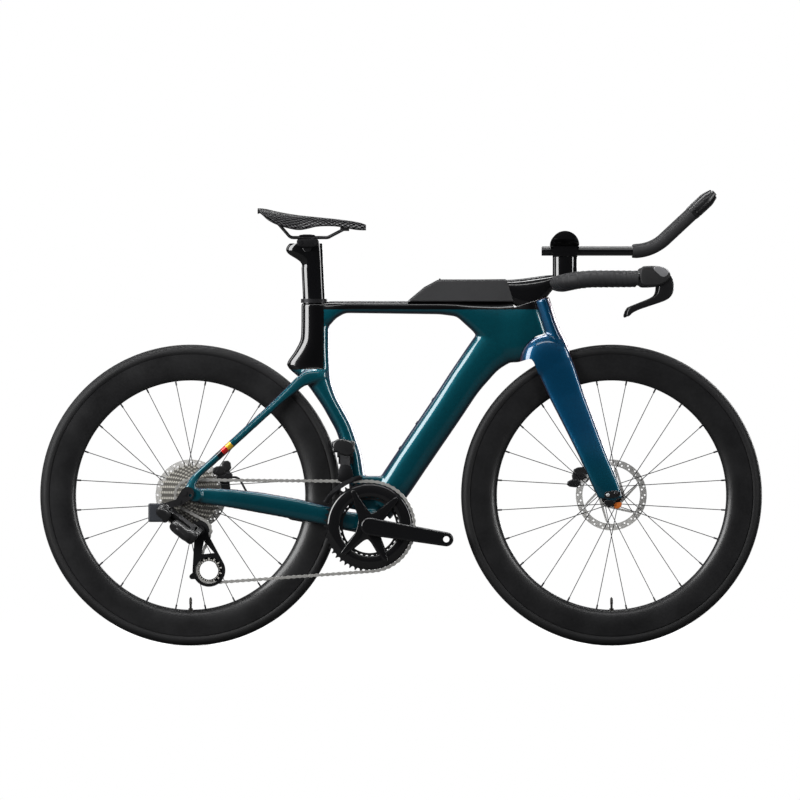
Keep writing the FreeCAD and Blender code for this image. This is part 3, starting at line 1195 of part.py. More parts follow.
def knuckle(origin, sign):
    """Two ears with pins through both links, closed by a block away from the links."""
    ends = sorted((-sign * 6, sign * 20))
    back = sorted((sign * 7.5, sign * 20))
    side = (-LINK_APART - 5, LINK_APART + 5)
    pieces = [link_box(origin, ends, side, (ear_in, ear_out)),
              link_box(origin, ends, side, (-ear_out, -ear_in)),
              link_box(origin, back, side, (-ear_out, ear_out))]
    for aside in (-LINK_APART, LINK_APART):
        pieces.append(hinge_pin(origin + throw * aside, LINK_PIN, -ear_out, ear_out))
    return pieces


hanger_bolt = at_rear(-24, -14)
arm_low, arm_high = -drop_out, -drop_out + 13
fixed_pieces = knuckle(fixed, -1)
fixed_pieces.append(round_arm(hanger_bolt, at_rear(-59, -26), 7, 8, arm_low, arm_high))
bolt = y_rod(4, hanger_bolt.x, hanger_bolt.z, -drop_out - 9, arm_high)
fixed_knuckle = fixed_pieces[0].multiFuse(fixed_pieces[1:]).cut(bolt).removeSplitter()
hanger_plate = round_arm(at_rear(-6, 4), hanger_bolt, 15, 9, -drop_out - 6, -drop_out)
hanger_plate = hanger_plate.fuse(y_rod(7, rear.x - 14, rear.z + 6, -drop_out - 8, -drop_out - 6))
hanger_plate = hanger_plate.cut(Part.makeCompound([axle_way, bolt]))
keep("rd_fixed_knuckle", solids("rd_fixed_knuckle", [fixed_knuckle, hanger_plate, bolt]))
battery = Part.makeBox(34, 22, 42, at_rear(-94, -60) + Vector(0, outboard - 11, 0))
battery = battery.makeFillet(4, battery.Edges).cut(fixed_knuckle)
keep("rd_battery", solids("rd_battery", [max(battery.Solids, key=lambda solid: solid.Volume)]))
for node, aside in (("rd_link_outer", -LINK_APART), ("rd_link_inner", LINK_APART)):
    start, end = fixed + throw * aside, moving + throw * aside
    link = strap(start, end, hinge, LINK_RADIUS, -LINK_HALF, LINK_HALF)
    ways = [hinge_pin(place, LINK_PIN + dims.running_fit, -20, 20) for place in (start, end)]
    keep(node, solids(node, [link.cut(Part.makeCompound(ways))]))

CAGE_PIN, PLATE, HUB_HALF = 2.5, 1.8, 3.2
chain_y = -float(dims.chainline)
plate_in, plate_out = HUB_HALF + play, HUB_HALF + play + PLATE
boss_end = chain_y - plate_out - play
moving_pieces = knuckle(moving, 1)
moving_pieces += [y_rod(10, guide.x, guide.z, boss_end - 13, boss_end),
                  link_box(moving, (-44, 10), (-9, 9), (-26, -ear_in - 1), 4)]
pivot_way = y_rod(CAGE_PIN + dims.running_fit, guide.x, guide.z, boss_end - 11, boss_end + 5)
keep("rd_moving_knuckle", solids("rd_moving_knuckle", [
    moving_pieces[0].multiFuse(moving_pieces[1:]).cut(pivot_way).removeSplitter()]))

# The cage's lower end is a ring, and its tension pulley is a toothed ring with an open middle.
RING_OPEN, RING_SEAT, RING_FACE, CAGE_RING = 21, 22.5, 30, 37
guide_flat, tension_flat = guide - chain_plane, tension - chain_plane
lug = tension_flat + Vector(-38, 0, -14)
outer_plate = round_arm(guide_flat, tension_flat, 12, CAGE_RING, chain_y - plate_out, chain_y - plate_in)
outer_plate = outer_plate.fuse(round_arm(tension_flat, lug, 20, 6, chain_y - plate_out, chain_y - plate_in))
outer_plate = outer_plate.cut(y_rod(RING_FACE, tension.x, tension.z, -80, 0))
inner_plate = round_arm(guide_flat, tension_flat, 11, CAGE_RING - 1, chain_y + plate_in, chain_y + plate_out)
inner_plate = inner_plate.fuse(round_arm(tension_flat, lug, 20, 6, chain_y + plate_in, chain_y + plate_out))
seat_ring = y_rod(RING_SEAT, tension.x, tension.z, chain_y - HUB_HALF, chain_y + plate_in)
inner_plate = inner_plate.fuse(seat_ring).cut(y_rod(RING_OPEN, tension.x, tension.z, -80, 0))
window = side_outline([tension_flat + Vector(-11, 0, 66), tension_flat + Vector(-17, 0, 36),
                       tension_flat + Vector(12, 0, 39)], -80, 0)
outer_plate, inner_plate = outer_plate.cut(window), inner_plate.cut(window)
cage_pins = [y_rod(CAGE_PIN, guide.x, guide.z, boss_end - 10, chain_y + plate_out),
             y_rod(3, lug.x, lug.z, chain_y - plate_out, chain_y + plate_out)]
keep("rd_cage", solids("rd_cage", [outer_plate.multiFuse([inner_plate] + cage_pins).removeSplitter()]))
pulley = toothed_disc(GUIDE_TEETH, guide_gap_angle, dims.cog_thickness, guide)
pulley = pulley.fuse(y_rod(10, guide.x, guide.z, chain_y - HUB_HALF, chain_y + HUB_HALF))
keep("guide_pulley", solids("guide_pulley", [
    pulley.cut(y_rod(CAGE_PIN + dims.running_fit, guide.x, guide.z, -80, 0))]))
pulley = toothed_disc(TENSION_TEETH, tension_gap_angle, dims.cog_thickness, tension)
pulley = pulley.fuse(y_rod(RING_SEAT + 1, tension.x, tension.z, chain_y - HUB_HALF, chain_y + HUB_HALF))
keep("tension_pulley", solids("tension_pulley", [
    pulley.cut(y_rod(RING_SEAT + dims.running_fit, tension.x, tension.z, -80, 0))]))

# Front derailleur: a body on the seat tube, one swinging link and a cage that stays upright.
FD_PIN, FD_BOSS = 2.5, 5
fd_top = at_bottom(0, 160) + Vector(0, -38, 0)
fd_low = at_bottom(0, 134) + Vector(0, chain_y + 2, 0)
fd_back, fd_ahead = at_bottom(-66, 0).x, at_bottom(-44, 0).x
fd_width = fd_ahead - fd_back


def lugs(place, away):
    """Two round-ended lugs beside the link with the pin that joins them."""
    made = [Part.makeCylinder(FD_PIN, fd_width + 12, Vector(fd_back - 6, place.y, place.z), FORWARD)]
    for low, high in ((fd_back - 7, fd_back - play), (fd_ahead + play, fd_ahead + 7)):
        foot, tip = Vector(0, place.y, place.z), Vector(0, away.y, away.z)
        made.append(strap(foot, tip, FORWARD, FD_BOSS, low, high))
    return made


fd_block = Part.makeBox(52, 30, 26, at_bottom(-85, 166) + Vector(0, -46, 0))
fd_block = fd_block.makeFillet(5, fd_block.Edges)
fd_foot = Part.makeBox(34, 20, 40, at_bottom(-70, 140) + Vector(0, -30, 0))
fd_body = fd_block.multiFuse([fd_foot] + lugs(fd_top, fd_top + Vector(0, 2, 14))).cut(frame_solid)
gap_start = Vector(fd_back - play, fd_top.y, fd_top.z)
fd_swing = Part.makeCylinder(33.5, fd_width + 2 * play, gap_start, FORWARD)
fd_gap = fd_swing.common(Part.makeBox(300, 60, 35, Vector(fd_back - 100, fd_top.y - 45, fd_top.z - 35)))
fd_round = Part.makeCylinder(FD_BOSS + play, fd_width + 2 * play, gap_start, FORWARD)
fd_pin_rod = Part.makeCylinder(FD_PIN, fd_width + 12, Vector(fd_back - 6, fd_top.y, fd_top.z), FORWARD)
fd_body = fd_body.cut(fd_gap.fuse(fd_round)).fuse(fd_pin_rod)
keep("fd_body", solids("fd_body", [max(fd_body.Solids, key=lambda solid: solid.Volume)]))
link_top, link_foot = Vector(0, fd_top.y, fd_top.z), Vector(0, fd_low.y, fd_low.z)
link = strap(link_top, link_foot, FORWARD, FD_BOSS, fd_back, fd_ahead)
ways = [Part.makeCylinder(FD_PIN + dims.running_fit, 200, Vector(fd_back - 100, place.y, place.z), FORWARD)
        for place in (fd_top, fd_low)]
keep("fd_link", solids("fd_link", [link.cut(Part.makeCompound(ways))]))
ring_reach = pitch_radius(RING_TEETH) + TIP_HEIGHT + 2
tail_turn, nose_turn = math.radians(151), math.radians(101)
cage_edge = [bottom + flat(nose_turn, ring_reach), bottom + flat((tail_turn + nose_turn) / 2, ring_reach),
             bottom + flat(tail_turn, ring_reach)]
cage_points = [cage_edge[2], bottom + flat(tail_turn, ring_reach + 13), at_bottom(-88, 100),
               at_bottom(-72, 122), at_bottom(-24, 122), cage_edge[0]]
cage_edges = [Part.LineSegment(a, b) for a, b in zip(cage_points, cage_points[1:])]
cage_edges.append(Part.Arc(cage_edge[0], cage_edge[1], cage_edge[2]))
cage_face = Part.Face(Part.Wire([edge.toShape() for edge in cage_edges]))
cage_half, cage_wall = 5, 1.5
pieces = []
for low in (chain_y - cage_half - cage_wall, chain_y + cage_half):
    plate = cage_face.extrude(Vector(0, cage_wall, 0))
    plate.translate(Vector(0, low, 0))
    pieces.append(plate)
bridge = Part.makeBox(44, 2 * cage_half, 8, at_bottom(-70, 114) + Vector(0, chain_y - cage_half, 0))
tail_bridge = y_rod(3, bottom.x, bottom.z, chain_y - cage_half, chain_y + cage_half)
tail_bridge.translate(flat(tail_turn - 0.04, ring_reach + 7))
pieces += [bridge, tail_bridge] + lugs(fd_low, Vector(0, fd_low.y, bottom.z + 118))
keep("fd_cage", solids("fd_cage", [pieces[0].multiFuse(pieces[1:]).removeSplitter()]))

# Brakes: each caliper straddles its rotor with a pad on either side; the rear one feeds a short hose.
PAD_THICK, CALIPER_SIDE = 3.2, 7
pad_gap = float(dims.rotor_thickness) / 2 + play


def make_caliper(corner, length, height, axle, plane_y, carriers, extras):
    """A caliper block cut for the disc, with two pads in the slot."""
    wide = pad_gap + PAD_THICK
    half = wide + CALIPER_SIDE
    body = Part.makeBox(length, 2 * half, height, corner + Vector(0, plane_y - half, 0))
    body = body.makeFillet(5, body.Edges)
    disc_space = y_rod(dims.rotor_radius + 2, axle.x, axle.z, plane_y - wide, plane_y + wide)
    body = body.multiFuse(extras).cut(Part.makeCompound([disc_space] + carriers))
    disc = y_rod(dims.rotor_radius - 1, axle.x, axle.z, plane_y - wide, plane_y + wide)
    pads = []
    for low in (plane_y - wide, plane_y + pad_gap):
        pad = Part.makeBox(length - 12, PAD_THICK, height - 12, corner + Vector(6, low, 6))
        pads.append(pad.common(disc))
    return [max(body.Solids, key=lambda solid: solid.Volume)] + pads


front_rotor_y = float(front_half) - 10.5
rear_rotor_y = float(rear_half) - 15.5
front_ear = Part.makeBox(26, 12, 22, at_front(-76, 36) + Vector(0, front_rotor_y + 5, 0))
keep("front_caliper", solids("front_caliper", make_caliper(
    at_front(-102, 18), 42, 45, front, front_rotor_y, [fork_solid], [front_ear])))
rear_foot = Part.makeBox(34, 16, 30, at_rear(62, 4) + Vector(0, rear_rotor_y - 3, 0))
hose_start = at_rear(88, 40) + Vector(0, rear_rotor_y, 0)
HOSE, HOSE_RUN, HOSE_BEND, HOSE_TURN, HOSE_TAIL = 2.5, 10, 16, 62, 34
turn = math.radians(HOSE_TURN)
bend = hose_start + FORWARD * HOSE_RUN
pivot = bend - UP * HOSE_BEND
bend_middle = pivot + Vector(math.sin(turn / 2), 0, math.cos(turn / 2)) * HOSE_BEND
bend_end = pivot + Vector(math.sin(turn), 0, math.cos(turn)) * HOSE_BEND
hose_end = bend_end + Vector(math.cos(turn), 0, -math.sin(turn)) * HOSE_TAIL
hose_edges = [Part.LineSegment(hose_start, bend), Part.Arc(bend, bend_middle, bend_end),
              Part.LineSegment(bend_end, hose_end)]
hose_path = Part.Wire([edge.toShape() for edge in hose_edges])
hose = hose_path.makePipeShell([Part.Wire(Part.makeCircle(HOSE, hose_start, FORWARD))], True, False)
print("hose volume", hose.Volume, "section by length", math.pi * HOSE ** 2 * hose_path.Length)
hose = max(hose.cut(stay_sides[1]).Solids, key=lambda solid: solid.BoundBox.ZMax)
rear_pieces = make_caliper(at_rear(58, 24), 36, 40, rear, rear_rotor_y,
                           [stay_sides[1], seat_stay_sides[1], hose], [rear_foot])
keep("rear_caliper", solids("rear_caliper", rear_pieces))
keep("rear_hose", solids("rear_hose", [hose]))

# Hand-in: every object must be sound before its file is written.
doc.recompute()
for made in doc.Objects:
    if "Invalid" in made.State or "Error" in made.State:
        raise RuntimeError("unsound object: " + made.Name)
for node, made in nodes.items():
    if made.Shape.isNull() or not made.Shape.isValid():
        raise RuntimeError("unsound shape: " + node)
    made.Shape.exportStep("parts/%s.step" % node)
    print(node, len(made.Shape.Solids), round(made.Shape.Volume))
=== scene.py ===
import json
import math

import bmesh
import bpy
import numpy as np
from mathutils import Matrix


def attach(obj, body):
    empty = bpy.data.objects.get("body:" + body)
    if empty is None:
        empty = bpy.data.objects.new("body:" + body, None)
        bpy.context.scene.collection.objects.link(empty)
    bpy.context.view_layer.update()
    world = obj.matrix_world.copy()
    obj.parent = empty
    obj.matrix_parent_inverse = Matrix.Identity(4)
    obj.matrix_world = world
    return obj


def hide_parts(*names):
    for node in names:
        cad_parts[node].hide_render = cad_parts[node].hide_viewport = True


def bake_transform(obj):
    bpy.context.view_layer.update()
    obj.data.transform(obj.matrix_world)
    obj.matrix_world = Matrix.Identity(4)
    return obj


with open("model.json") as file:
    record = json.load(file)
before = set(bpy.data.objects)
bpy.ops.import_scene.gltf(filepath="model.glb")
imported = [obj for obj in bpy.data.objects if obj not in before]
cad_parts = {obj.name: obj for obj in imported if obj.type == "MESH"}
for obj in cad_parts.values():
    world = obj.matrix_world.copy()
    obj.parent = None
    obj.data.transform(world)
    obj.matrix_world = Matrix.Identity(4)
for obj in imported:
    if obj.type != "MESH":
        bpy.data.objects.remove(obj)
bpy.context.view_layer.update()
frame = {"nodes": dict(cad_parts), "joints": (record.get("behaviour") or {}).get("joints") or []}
scene = bpy.context.scene

# Studio: a pale floor under a long strip lamp, with softboxes and strips on the drive side and on the far
# side. The drive side is seen through a very long lens, so that both wheels look round and no tube tapers.
VIEW_WIDTH = 1.802
VIEW_MIDDLE = (-0.0025, 0.5532)
LENS_DISTANCE = 30.0
SENSOR = 36.0
camera = bpy.data.objects.new("camera", bpy.data.cameras.new("camera"))
scene.collection.objects.link(camera)
camera.data.sensor_width = SENSOR
camera.data.lens = SENSOR * LENS_DISTANCE / VIEW_WIDTH
camera.location = (VIEW_MIDDLE[0], -LENS_DISTANCE, VIEW_MIDDLE[1])
camera.rotation_euler = (math.pi / 2, 0, 0)
scene.camera = camera
scene.view_settings.view_transform = "Standard"


class Graph:
    """A node tree with short calls for making nodes: a value is set, and a socket is linked."""

    def __init__(self, tree):
        self.tree = tree

    def node(self, kind, settings=None, **inputs):
        """A new node. An underscore in an input's name stands for a space."""
        made = self.tree.nodes.new(kind)
        for name, value in (settings or {}).items():
            setattr(made, name, value)
        for name, value in inputs.items():
            self.feed(made.inputs[name.replace("_", " ")], value)
        return made

    def feed(self, socket, value):
        """Link a socket to another, or set its value."""
        if isinstance(value, bpy.types.NodeSocket):
            self.tree.links.new(value, socket)
        else:
            socket.default_value = value

    def math(self, operation, *values, clamp=False):
        """The result of one sum on values or sockets."""
        made = self.node("ShaderNodeMath", {"operation": operation, "use_clamp": clamp})
        for socket, value in zip(made.inputs, values):
            self.feed(socket, value)
        return made.outputs[0]

    def step(self, value, low, high):
        """0 below low, 1 above high and a smooth rise between them."""
        made = self.node("ShaderNodeMapRange", {"interpolation_type": "SMOOTHSTEP"})
        for socket, given in zip(made.inputs, (value, low, high)):
            self.feed(socket, given)
        return made.outputs["Result"]

    def mix(self, factor, first, second):
        """A colour between two colours."""
        made = self.node("ShaderNodeMix", {"data_type": "RGBA"})
        for place, value in (("Factor", factor), (6, first), (7, second)):
            self.feed(made.inputs[place], value)
        return made.outputs[2]

    def place(self):
        """The piece's own coordinates, as a vector and as x, y and z."""
        vector = self.node("ShaderNodeTexCoord").outputs["Object"]
        return vector, self.node("ShaderNodeSeparateXYZ", Vector=vector).outputs


world = bpy.data.worlds.new("studio")
scene.world = world
world.use_nodes = True
world.node_tree.nodes.clear()
sky = Graph(world.node_tree)
HORIZON, ZENITH = (0.03, 0.031, 0.034, 1), (0.22, 0.225, 0.235, 1)
skyward = sky.node("ShaderNodeTexCoord").outputs["Generated"]
height = sky.node("ShaderNodeSeparateXYZ", Vector=skyward).outputs["Z"]
to_camera = sky.node("ShaderNodeLightPath").outputs["Is Camera Ray"]
dome = sky.mix(sky.step(height, 0.05, 0.75), HORIZON, ZENITH)
seen = sky.mix(to_camera, dome, (1, 1, 1, 1))
backing = sky.node("ShaderNodeBackground", Color=seen, Strength=1.0)
sky.tree.links.new(backing.outputs[0], sky.node("ShaderNodeOutputWorld").inputs["Surface"])

for name, place, aim, size, power in (
        ("top_strip", (0.0, -0.35, 2.7), (0.0, 0.0, 0.6), (3.2, 0.3), 70),
        ("left_softbox", (-2.4, -2.3, 1.5), (0.0, 0.0, 0.6), (1.5, 2.3), 165),
        ("high_strip", (0.3, -2.6, 2.7), (0.1, 0.0, 0.55), (3.0, 0.3), 20),
        ("rear_strip", (-2.5, 0.3, 1.6), (-0.1, 0.0, 0.55), (0.5, 2.0), 25),
        ("front_strip", (2.4, -2.0, 1.2), (0.3, 0.0, 0.6), (0.4, 2.0), 40),
        ("far_softbox", (2.3, 2.4, 1.6), (0.0, 0.0, 0.6), (1.5, 2.3), 150),
        ("far_strip", (-0.3, 2.6, 2.7), (-0.1, 0.0, 0.55), (3.0, 0.3), 22)):
    lamp = bpy.data.lights.new(name, "AREA")
    lamp.shape = "RECTANGLE"
    lamp.size, lamp.size_y = size
    lamp.energy = power
    stand = bpy.data.objects.new(name, lamp)
    scene.collection.objects.link(stand)
    stand.location = place
    reach = np.array(aim) - np.array(place)
    pitch = math.acos(-reach[2] / np.linalg.norm(reach))
    stand.rotation_euler = (pitch, 0, math.atan2(reach[1], reach[0]) - math.pi / 2)

# Floor: matt white paper that glows to the camera alone and least under the bike, so that a faint shadow
# shows there and the tubes don't mirror a white floor.


def smooth(piece, crease):
    """Shade a piece smooth, with edges sharper than the crease angle in degrees left crisp."""
    mesh = piece.data
    mesh.polygons.foreach_set("use_smooth", np.ones(len(mesh.polygons), bool))
    mesh.set_sharp_from_angle(angle=math.radians(crease))


def add_piece(name, surfaces, crease=40, material=None):
    """One mesh object from surfaces of (points, faces), smooth up to a crease angle, in its material."""
    points, faces, start = [], [], 0
    for surface_points, surface_faces in surfaces:
        points.append(surface_points)
        faces += [[corner + start for corner in face] for face in surface_faces]
        start += len(surface_points)
    mesh = bpy.data.meshes.new(name)
    mesh.from_pydata(np.concatenate(points).tolist(), [], faces)
    worked = bmesh.new()
    worked.from_mesh(mesh)
    bmesh.ops.remove_doubles(worked, verts=worked.verts, dist=1e-7)
    bmesh.ops.recalc_face_normals(worked, faces=worked.faces)
    worked.to_mesh(mesh)
    worked.free()
    piece = bpy.data.objects.new(name, mesh)
    scene.collection.objects.link(piece)
    smooth(piece, crease)
    if material:
        mesh.materials.append(material)
    return piece


FLOOR_HALF = 3.0
PAPER_LOW, PAPER_HIGH, PAPER_MIRRORED = (0.84, 0.84, 0.84, 1), (0.9, 0.9, 0.9, 1), (0.07, 0.07, 0.07, 1)
GLOW, LEAST_GLOW = 1.25, 0.25
SHADOW_EDGE, GLOW_EDGE = 0.10, 0.60
corners = np.array(((-1, -1, 0), (1, -1, 0), (1, 1, 0), (-1, 1, 0))) * FLOOR_HALF
floor = add_piece("floor", [(corners, [[0, 1, 2, 3]])])
paper = bpy.data.materials.new("white_paper")
paper.use_nodes = True
paper.node_tree.nodes.clear()
sheet = Graph(paper.node_tree)
where, ways = sheet.place()
grain = sheet.node("ShaderNodeTexNoise", Vector=where, Scale=40.0)
to_camera = sheet.node("ShaderNodeLightPath").outputs["Is Camera Ray"]
tone = sheet.mix(to_camera, PAPER_MIRRORED, sheet.mix(grain.outputs["Fac"], PAPER_LOW, PAPER_HIGH))
matt = sheet.node("ShaderNodeBsdfDiffuse", Color=tone)
glow = sheet.node("ShaderNodeEmission", Color=(1, 1, 1, 1), Strength=GLOW)
away = sheet.step(sheet.math("ABSOLUTE", ways["Y"]), SHADOW_EDGE, GLOW_EDGE)
share = sheet.math("ADD", sheet.math("MULTIPLY", away, 1 - LEAST_GLOW), LEAST_GLOW)
blend = sheet.node("ShaderNodeMixShader", Fac=sheet.math("MULTIPLY", to_camera, share))
sheet.feed(blend.inputs[1], matt.outputs[0])
sheet.feed(blend.inputs[2], glow.outputs[0])
sheet.feed(sheet.node("ShaderNodeOutputMaterial").inputs["Surface"], blend.outputs[0])
floor.data.materials.append(paper)

# Tyres: thin road casings of black rubber on the rims, smooth over the crown with a fine grain bump all
# over. Each is one turned ring that hides the plain CAD torus.
TYRE_RADIUS, TYRE_HALF, TYRE_FOOT = 0.339, 0.014, 0.3135
FOOT_ROUND, CROWN_DRAW = 0.001, 0.06
WHEEL_STEPS = 288
joint_at = {joint["name"]: np.array(joint["pos_m"]) for joint in frame["joints"] if "pos_m" in joint}
rear, front = joint_at["rear_wheel_spin"], joint_at["front_wheel_spin"]


def grid_quads(rows, columns, ring=False):
    """Quads between neighbours of a grid whose columns close on themselves, and its rows too for a ring."""
    row, column = np.meshgrid(np.arange(rows if ring else rows - 1), np.arange(columns), indexing="ij")
    start, below = row * columns, (row + 1) % rows * columns
    beside = (column + 1) % columns
    return np.stack([start + column, start + beside, below + beside, below + column], -1).reshape(-1, 4)


def ring_surface(grid):
    """Points and faces of a grid whose rows close on themselves, such as a tyre."""
    return grid.reshape(-1, 3), grid_quads(*grid.shape[:2], ring=True).tolist()


def full_turn(steps):
    """Even angles round a whole turn, the last a step short of the first."""
    return np.linspace(0, 2 * math.pi, steps, endpoint=False)


def turned(centre, radii, places, steps=WHEEL_STEPS):
    """A closed profile of radii and places along Y carried round an axle: x = r cos a, z = r sin a."""
    angle = full_turn(steps)[:, None]
    return np.stack([centre[0] + radii * np.cos(angle), centre[1] + places + 0 * angle,
                     centre[2] + radii * np.sin(angle)], -1)


def group_of(name, inputs, outputs):
    """A new shader node group with named sockets, and the graph to fill it."""
    made = bpy.data.node_groups.new(name, "ShaderNodeTree")
    for socket, kind, value in inputs:
        made.interface.new_socket(socket, in_out="INPUT", socket_type=kind).default_value = value
    for socket, kind in outputs:
        made.interface.new_socket(socket, in_out="OUTPUT", socket_type=kind)
    graph = Graph(made)
    return made, graph, graph.node("NodeGroupInput").outputs, graph.node("NodeGroupOutput").inputs


NUMBER, COLOUR = "NodeSocketFloat", "NodeSocketColor"
grain_group, graph, given, out = group_of(
    "surface_grain",
    [("Colour", COLOUR, (0.5, 0.5, 0.5, 1)), ("Colour Spread", NUMBER, 0.2), ("Roughness", NUMBER, 0.5),
     ("Roughness Spread", NUMBER, 0.1), ("Scale", NUMBER, 200.0), ("Smudge Scale", NUMBER, 14.0)],
    [("Colour", COLOUR), ("Roughness", NUMBER), ("Height", NUMBER)])
where = graph.place()[0]
fine = graph.node("ShaderNodeTexNoise", Vector=where, Scale=given["Scale"], Detail=5.0).outputs["Fac"]
broad = graph.node("ShaderNodeTexNoise", Vector=where, Scale=given["Smudge Scale"], Detail=3.0).outputs["Fac"]
mottle = graph.math("SUBTRACT", graph.math("ADD", fine, broad), 1.0)
spread = graph.math("MULTIPLY", mottle, given["Colour Spread"])
tint = graph.node("ShaderNodeHueSaturation", Color=given["Colour"], Value=graph.math("ADD", spread, 1.0))
rough = graph.math("MULTIPLY", graph.math("SUBTRACT", broad, 0.5), given["Roughness Spread"])
graph.feed(out["Colour"], tint.outputs["Color"])
graph.feed(out["Roughness"], graph.math("ADD", given["Roughness"], rough, clamp=True))
graph.feed(out["Height"], fine)


def new_material(name):
    """A new material, the graph that holds its nodes, and its shader."""
    made = bpy.data.materials.new(name)
    made.use_nodes = True
    return made, Graph(made.node_tree), made.node_tree.nodes["Principled BSDF"]


def finish(name, colour, roughness, metallic=0.0, coat=0.0, scale=300.0, spread=0.25, rough_spread=0.15,
           bump=0.0001, coat_roughness=0.04, shine=0.3):
    """A worked surface: grain in its colour and roughness, a fine bump and an even coat of lacquer."""
    made, graph, shader = new_material(name)
    grain = graph.node("ShaderNodeGroup", {"node_tree": grain_group}, Colour=(*colour, 1), Scale=scale,
                       Colour_Spread=spread, Roughness=roughness, Roughness_Spread=rough_spread)
    relief = graph.node("ShaderNodeBump", Strength=1.0, Distance=bump, Height=grain.outputs["Height"])
    for socket, value in (("Base Color", grain.outputs["Colour"]), ("Roughness", grain.outputs["Roughness"]),
                          ("Normal", relief.outputs["Normal"]), ("Metallic", metallic),
                          ("Specular IOR Level", shine), ("Coat Weight", coat),
                          ("Coat Roughness", coat_roughness)):
        graph.feed(shader.inputs[socket], value)
    return made


tyre_rubber = finish("tyre_rubber", (0.0062, 0.0062, 0.0066), 0.55, scale=900, spread=0.6, bump=0.0003,
                     shine=0.2)
turn = full_turn(56)
crown_round = np.maximum(np.cos(turn), 0) ** 3
tyre_radii = TYRE_RADIUS - TYRE_HALF + TYRE_HALF * np.cos(turn)
tyre_radii = np.maximum(tyre_radii, TYRE_FOOT - FOOT_ROUND * np.cos(turn))
tyre_places = TYRE_HALF * np.sin(turn) * (1 - CROWN_DRAW * crown_round)
for side, centre in (("front", front), ("rear", rear)):
    casing = ring_surface(turned(centre, tyre_radii, tyre_places))
    tyre = add_piece(side + "_tyre_casing", [casing], material=tyre_rubber)
    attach(tyre, side + " wheel")
    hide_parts(side + "_tyre")

# Rims: deep carbon hoops with bulged sides and a round inner edge, in satin lacquer over a marbled lay-up.
# The half width at a share u of the depth is full * (1 - u^3.2)^0.6. A black valve stands inside each rim.
RIM_TOP, RIM_FOOT, RIM_HALF = 0.317, 0.258, 0.0143


def closed_tube(grid):
    """Points and faces of a grid of rings, with each end closed on its own middle point."""
    rows, columns = grid.shape[:2]
    points = np.concatenate([grid.reshape(-1, 3), grid[:1].mean(1), grid[-1:].mean(1)])
    j = np.arange(columns)
    following = (j + 1) % columns
    ends = [np.stack([np.full(columns, rows * columns), following, j], -1),
            np.stack([np.full(columns, rows * columns + 1), (rows - 1) * columns + j,
                      (rows - 1) * columns + following], -1)]
    return points, grid_quads(rows, columns).tolist() + np.concatenate(ends).tolist()


def lathe(start, along, profile, steps=32):
    """Rings of (radius, distance) about an axis: start + along * distance + radius turned across it."""
    start, along = np.array(start, float), np.array(along, float) / np.linalg.norm(along)
    first = np.cross(along, (0.3, 0.5, 0.8))
    first /= np.linalg.norm(first)
    second = np.cross(along, first)
    angle = full_turn(steps)
    round_way = np.cos(angle)[:, None] * first + np.sin(angle)[:, None] * second
    radius, distance = np.array(profile, float).T
    return start + distance[:, None, None] * along + radius[:, None, None] * round_way


carbon_satin = finish("carbon_satin", (0.0060, 0.0060, 0.0064), 0.36, coat=0.3, scale=160, spread=0.9,
                      rough_spread=0.25, bump=0.00003, coat_roughness=0.22, shine=0.2)
valve_black = finish("valve_black", (0.02, 0.019, 0.017), 0.35, metallic=0.8, scale=900)
share = np.sin(np.linspace(0, math.pi / 2, 26))
rim_half = RIM_HALF * (1 - share ** 3.2) ** 0.6
rim_radii = RIM_TOP - (RIM_TOP - RIM_FOOT) * share
rim_radii = np.concatenate([rim_radii, rim_radii[-2::-1]])
rim_places = np.concatenate([rim_half, -rim_half[-2::-1]])
VALVE = ((0.0, -0.004), (0.005, -0.004), (0.005, 0.003), (0.0027, 0.0032), (0.0027, 0.012), (0.0032, 0.0125),
         (0.0032, 0.024), (0.0022, 0.0265), (0.0012, 0.028), (0.0, 0.028))
for side, centre in (("front", front), ("rear", rear)):
    hoop = ring_surface(turned(centre, rim_radii, rim_places))
    stem = closed_tube(lathe(centre - (0, 0, RIM_FOOT), (0, 0, 1), VALVE))
    rim = add_piece(side + "_rim_hoop", [hoop], material=carbon_satin)
    valve = add_piece(side + "_valve", [stem], material=valve_black)
    for piece, slot in ((rim, "satin_black"), (valve, "dark_metal")):
        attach(piece, side + " wheel")
        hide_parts(side + "_rim")

# Spokes, hubs, axles and brake discs: black oxide spokes laced to black hub shells, and ground steel
# discs drilled right through, bolted to the left of each hub.
nodes = frame["nodes"]


def dress(material, *names):
    """Give CAD nodes a finish in place of their plain colour."""
    for name in names:
        nodes[name].data.materials.clear()
        nodes[name].data.materials.append(material)


spoke_black = finish("spoke_black", (0.02, 0.02, 0.022), 0.34, metallic=0.85, scale=700)
hub_black = finish("hub_black", (0.012, 0.012, 0.013), 0.3, metallic=0.6, coat=0.3, scale=500)
disc_steel = finish("disc_steel", (0.42, 0.415, 0.40), 0.36, metallic=0.25, scale=420, spread=0.12)
axle_grey = finish("axle_grey", (0.10, 0.10, 0.105), 0.32, metallic=1.0, scale=500)
dress(spoke_black, "front_spokes", "rear_spokes")
dress(hub_black, "front_hub", "rear_hub")
dress(disc_steel, "front_rotor", "rear_rotor")
dress(axle_grey, "front_axle", "rear_axle", "headset_bearings", "bottom_cups")

# Frame: one carbon moulding of seat tube, top tube, down tube, head, shell, chain stays and seat stays.
# Every tube is a loft of rounded outlines; the lofts are joined as one skin and relaxed where they meet.
bottom, crown = joint_at["crank_spin"], joint_at["steering"]
steer_up = np.array([joint["axis"] for joint in frame["joints"] if joint["name"] == "steering"][0])
HEAD_LENGTH, HEAD_RADIUS, CROWN_BALL = 0.137, 0.024, 0.065
TILT_FROM_SEAT = (-0.014, 0, 0.117)
head = crown + steer_up * HEAD_LENGTH
seat = joint_at["saddle_tilt"] - TILT_FROM_SEAT
MM = 0.001


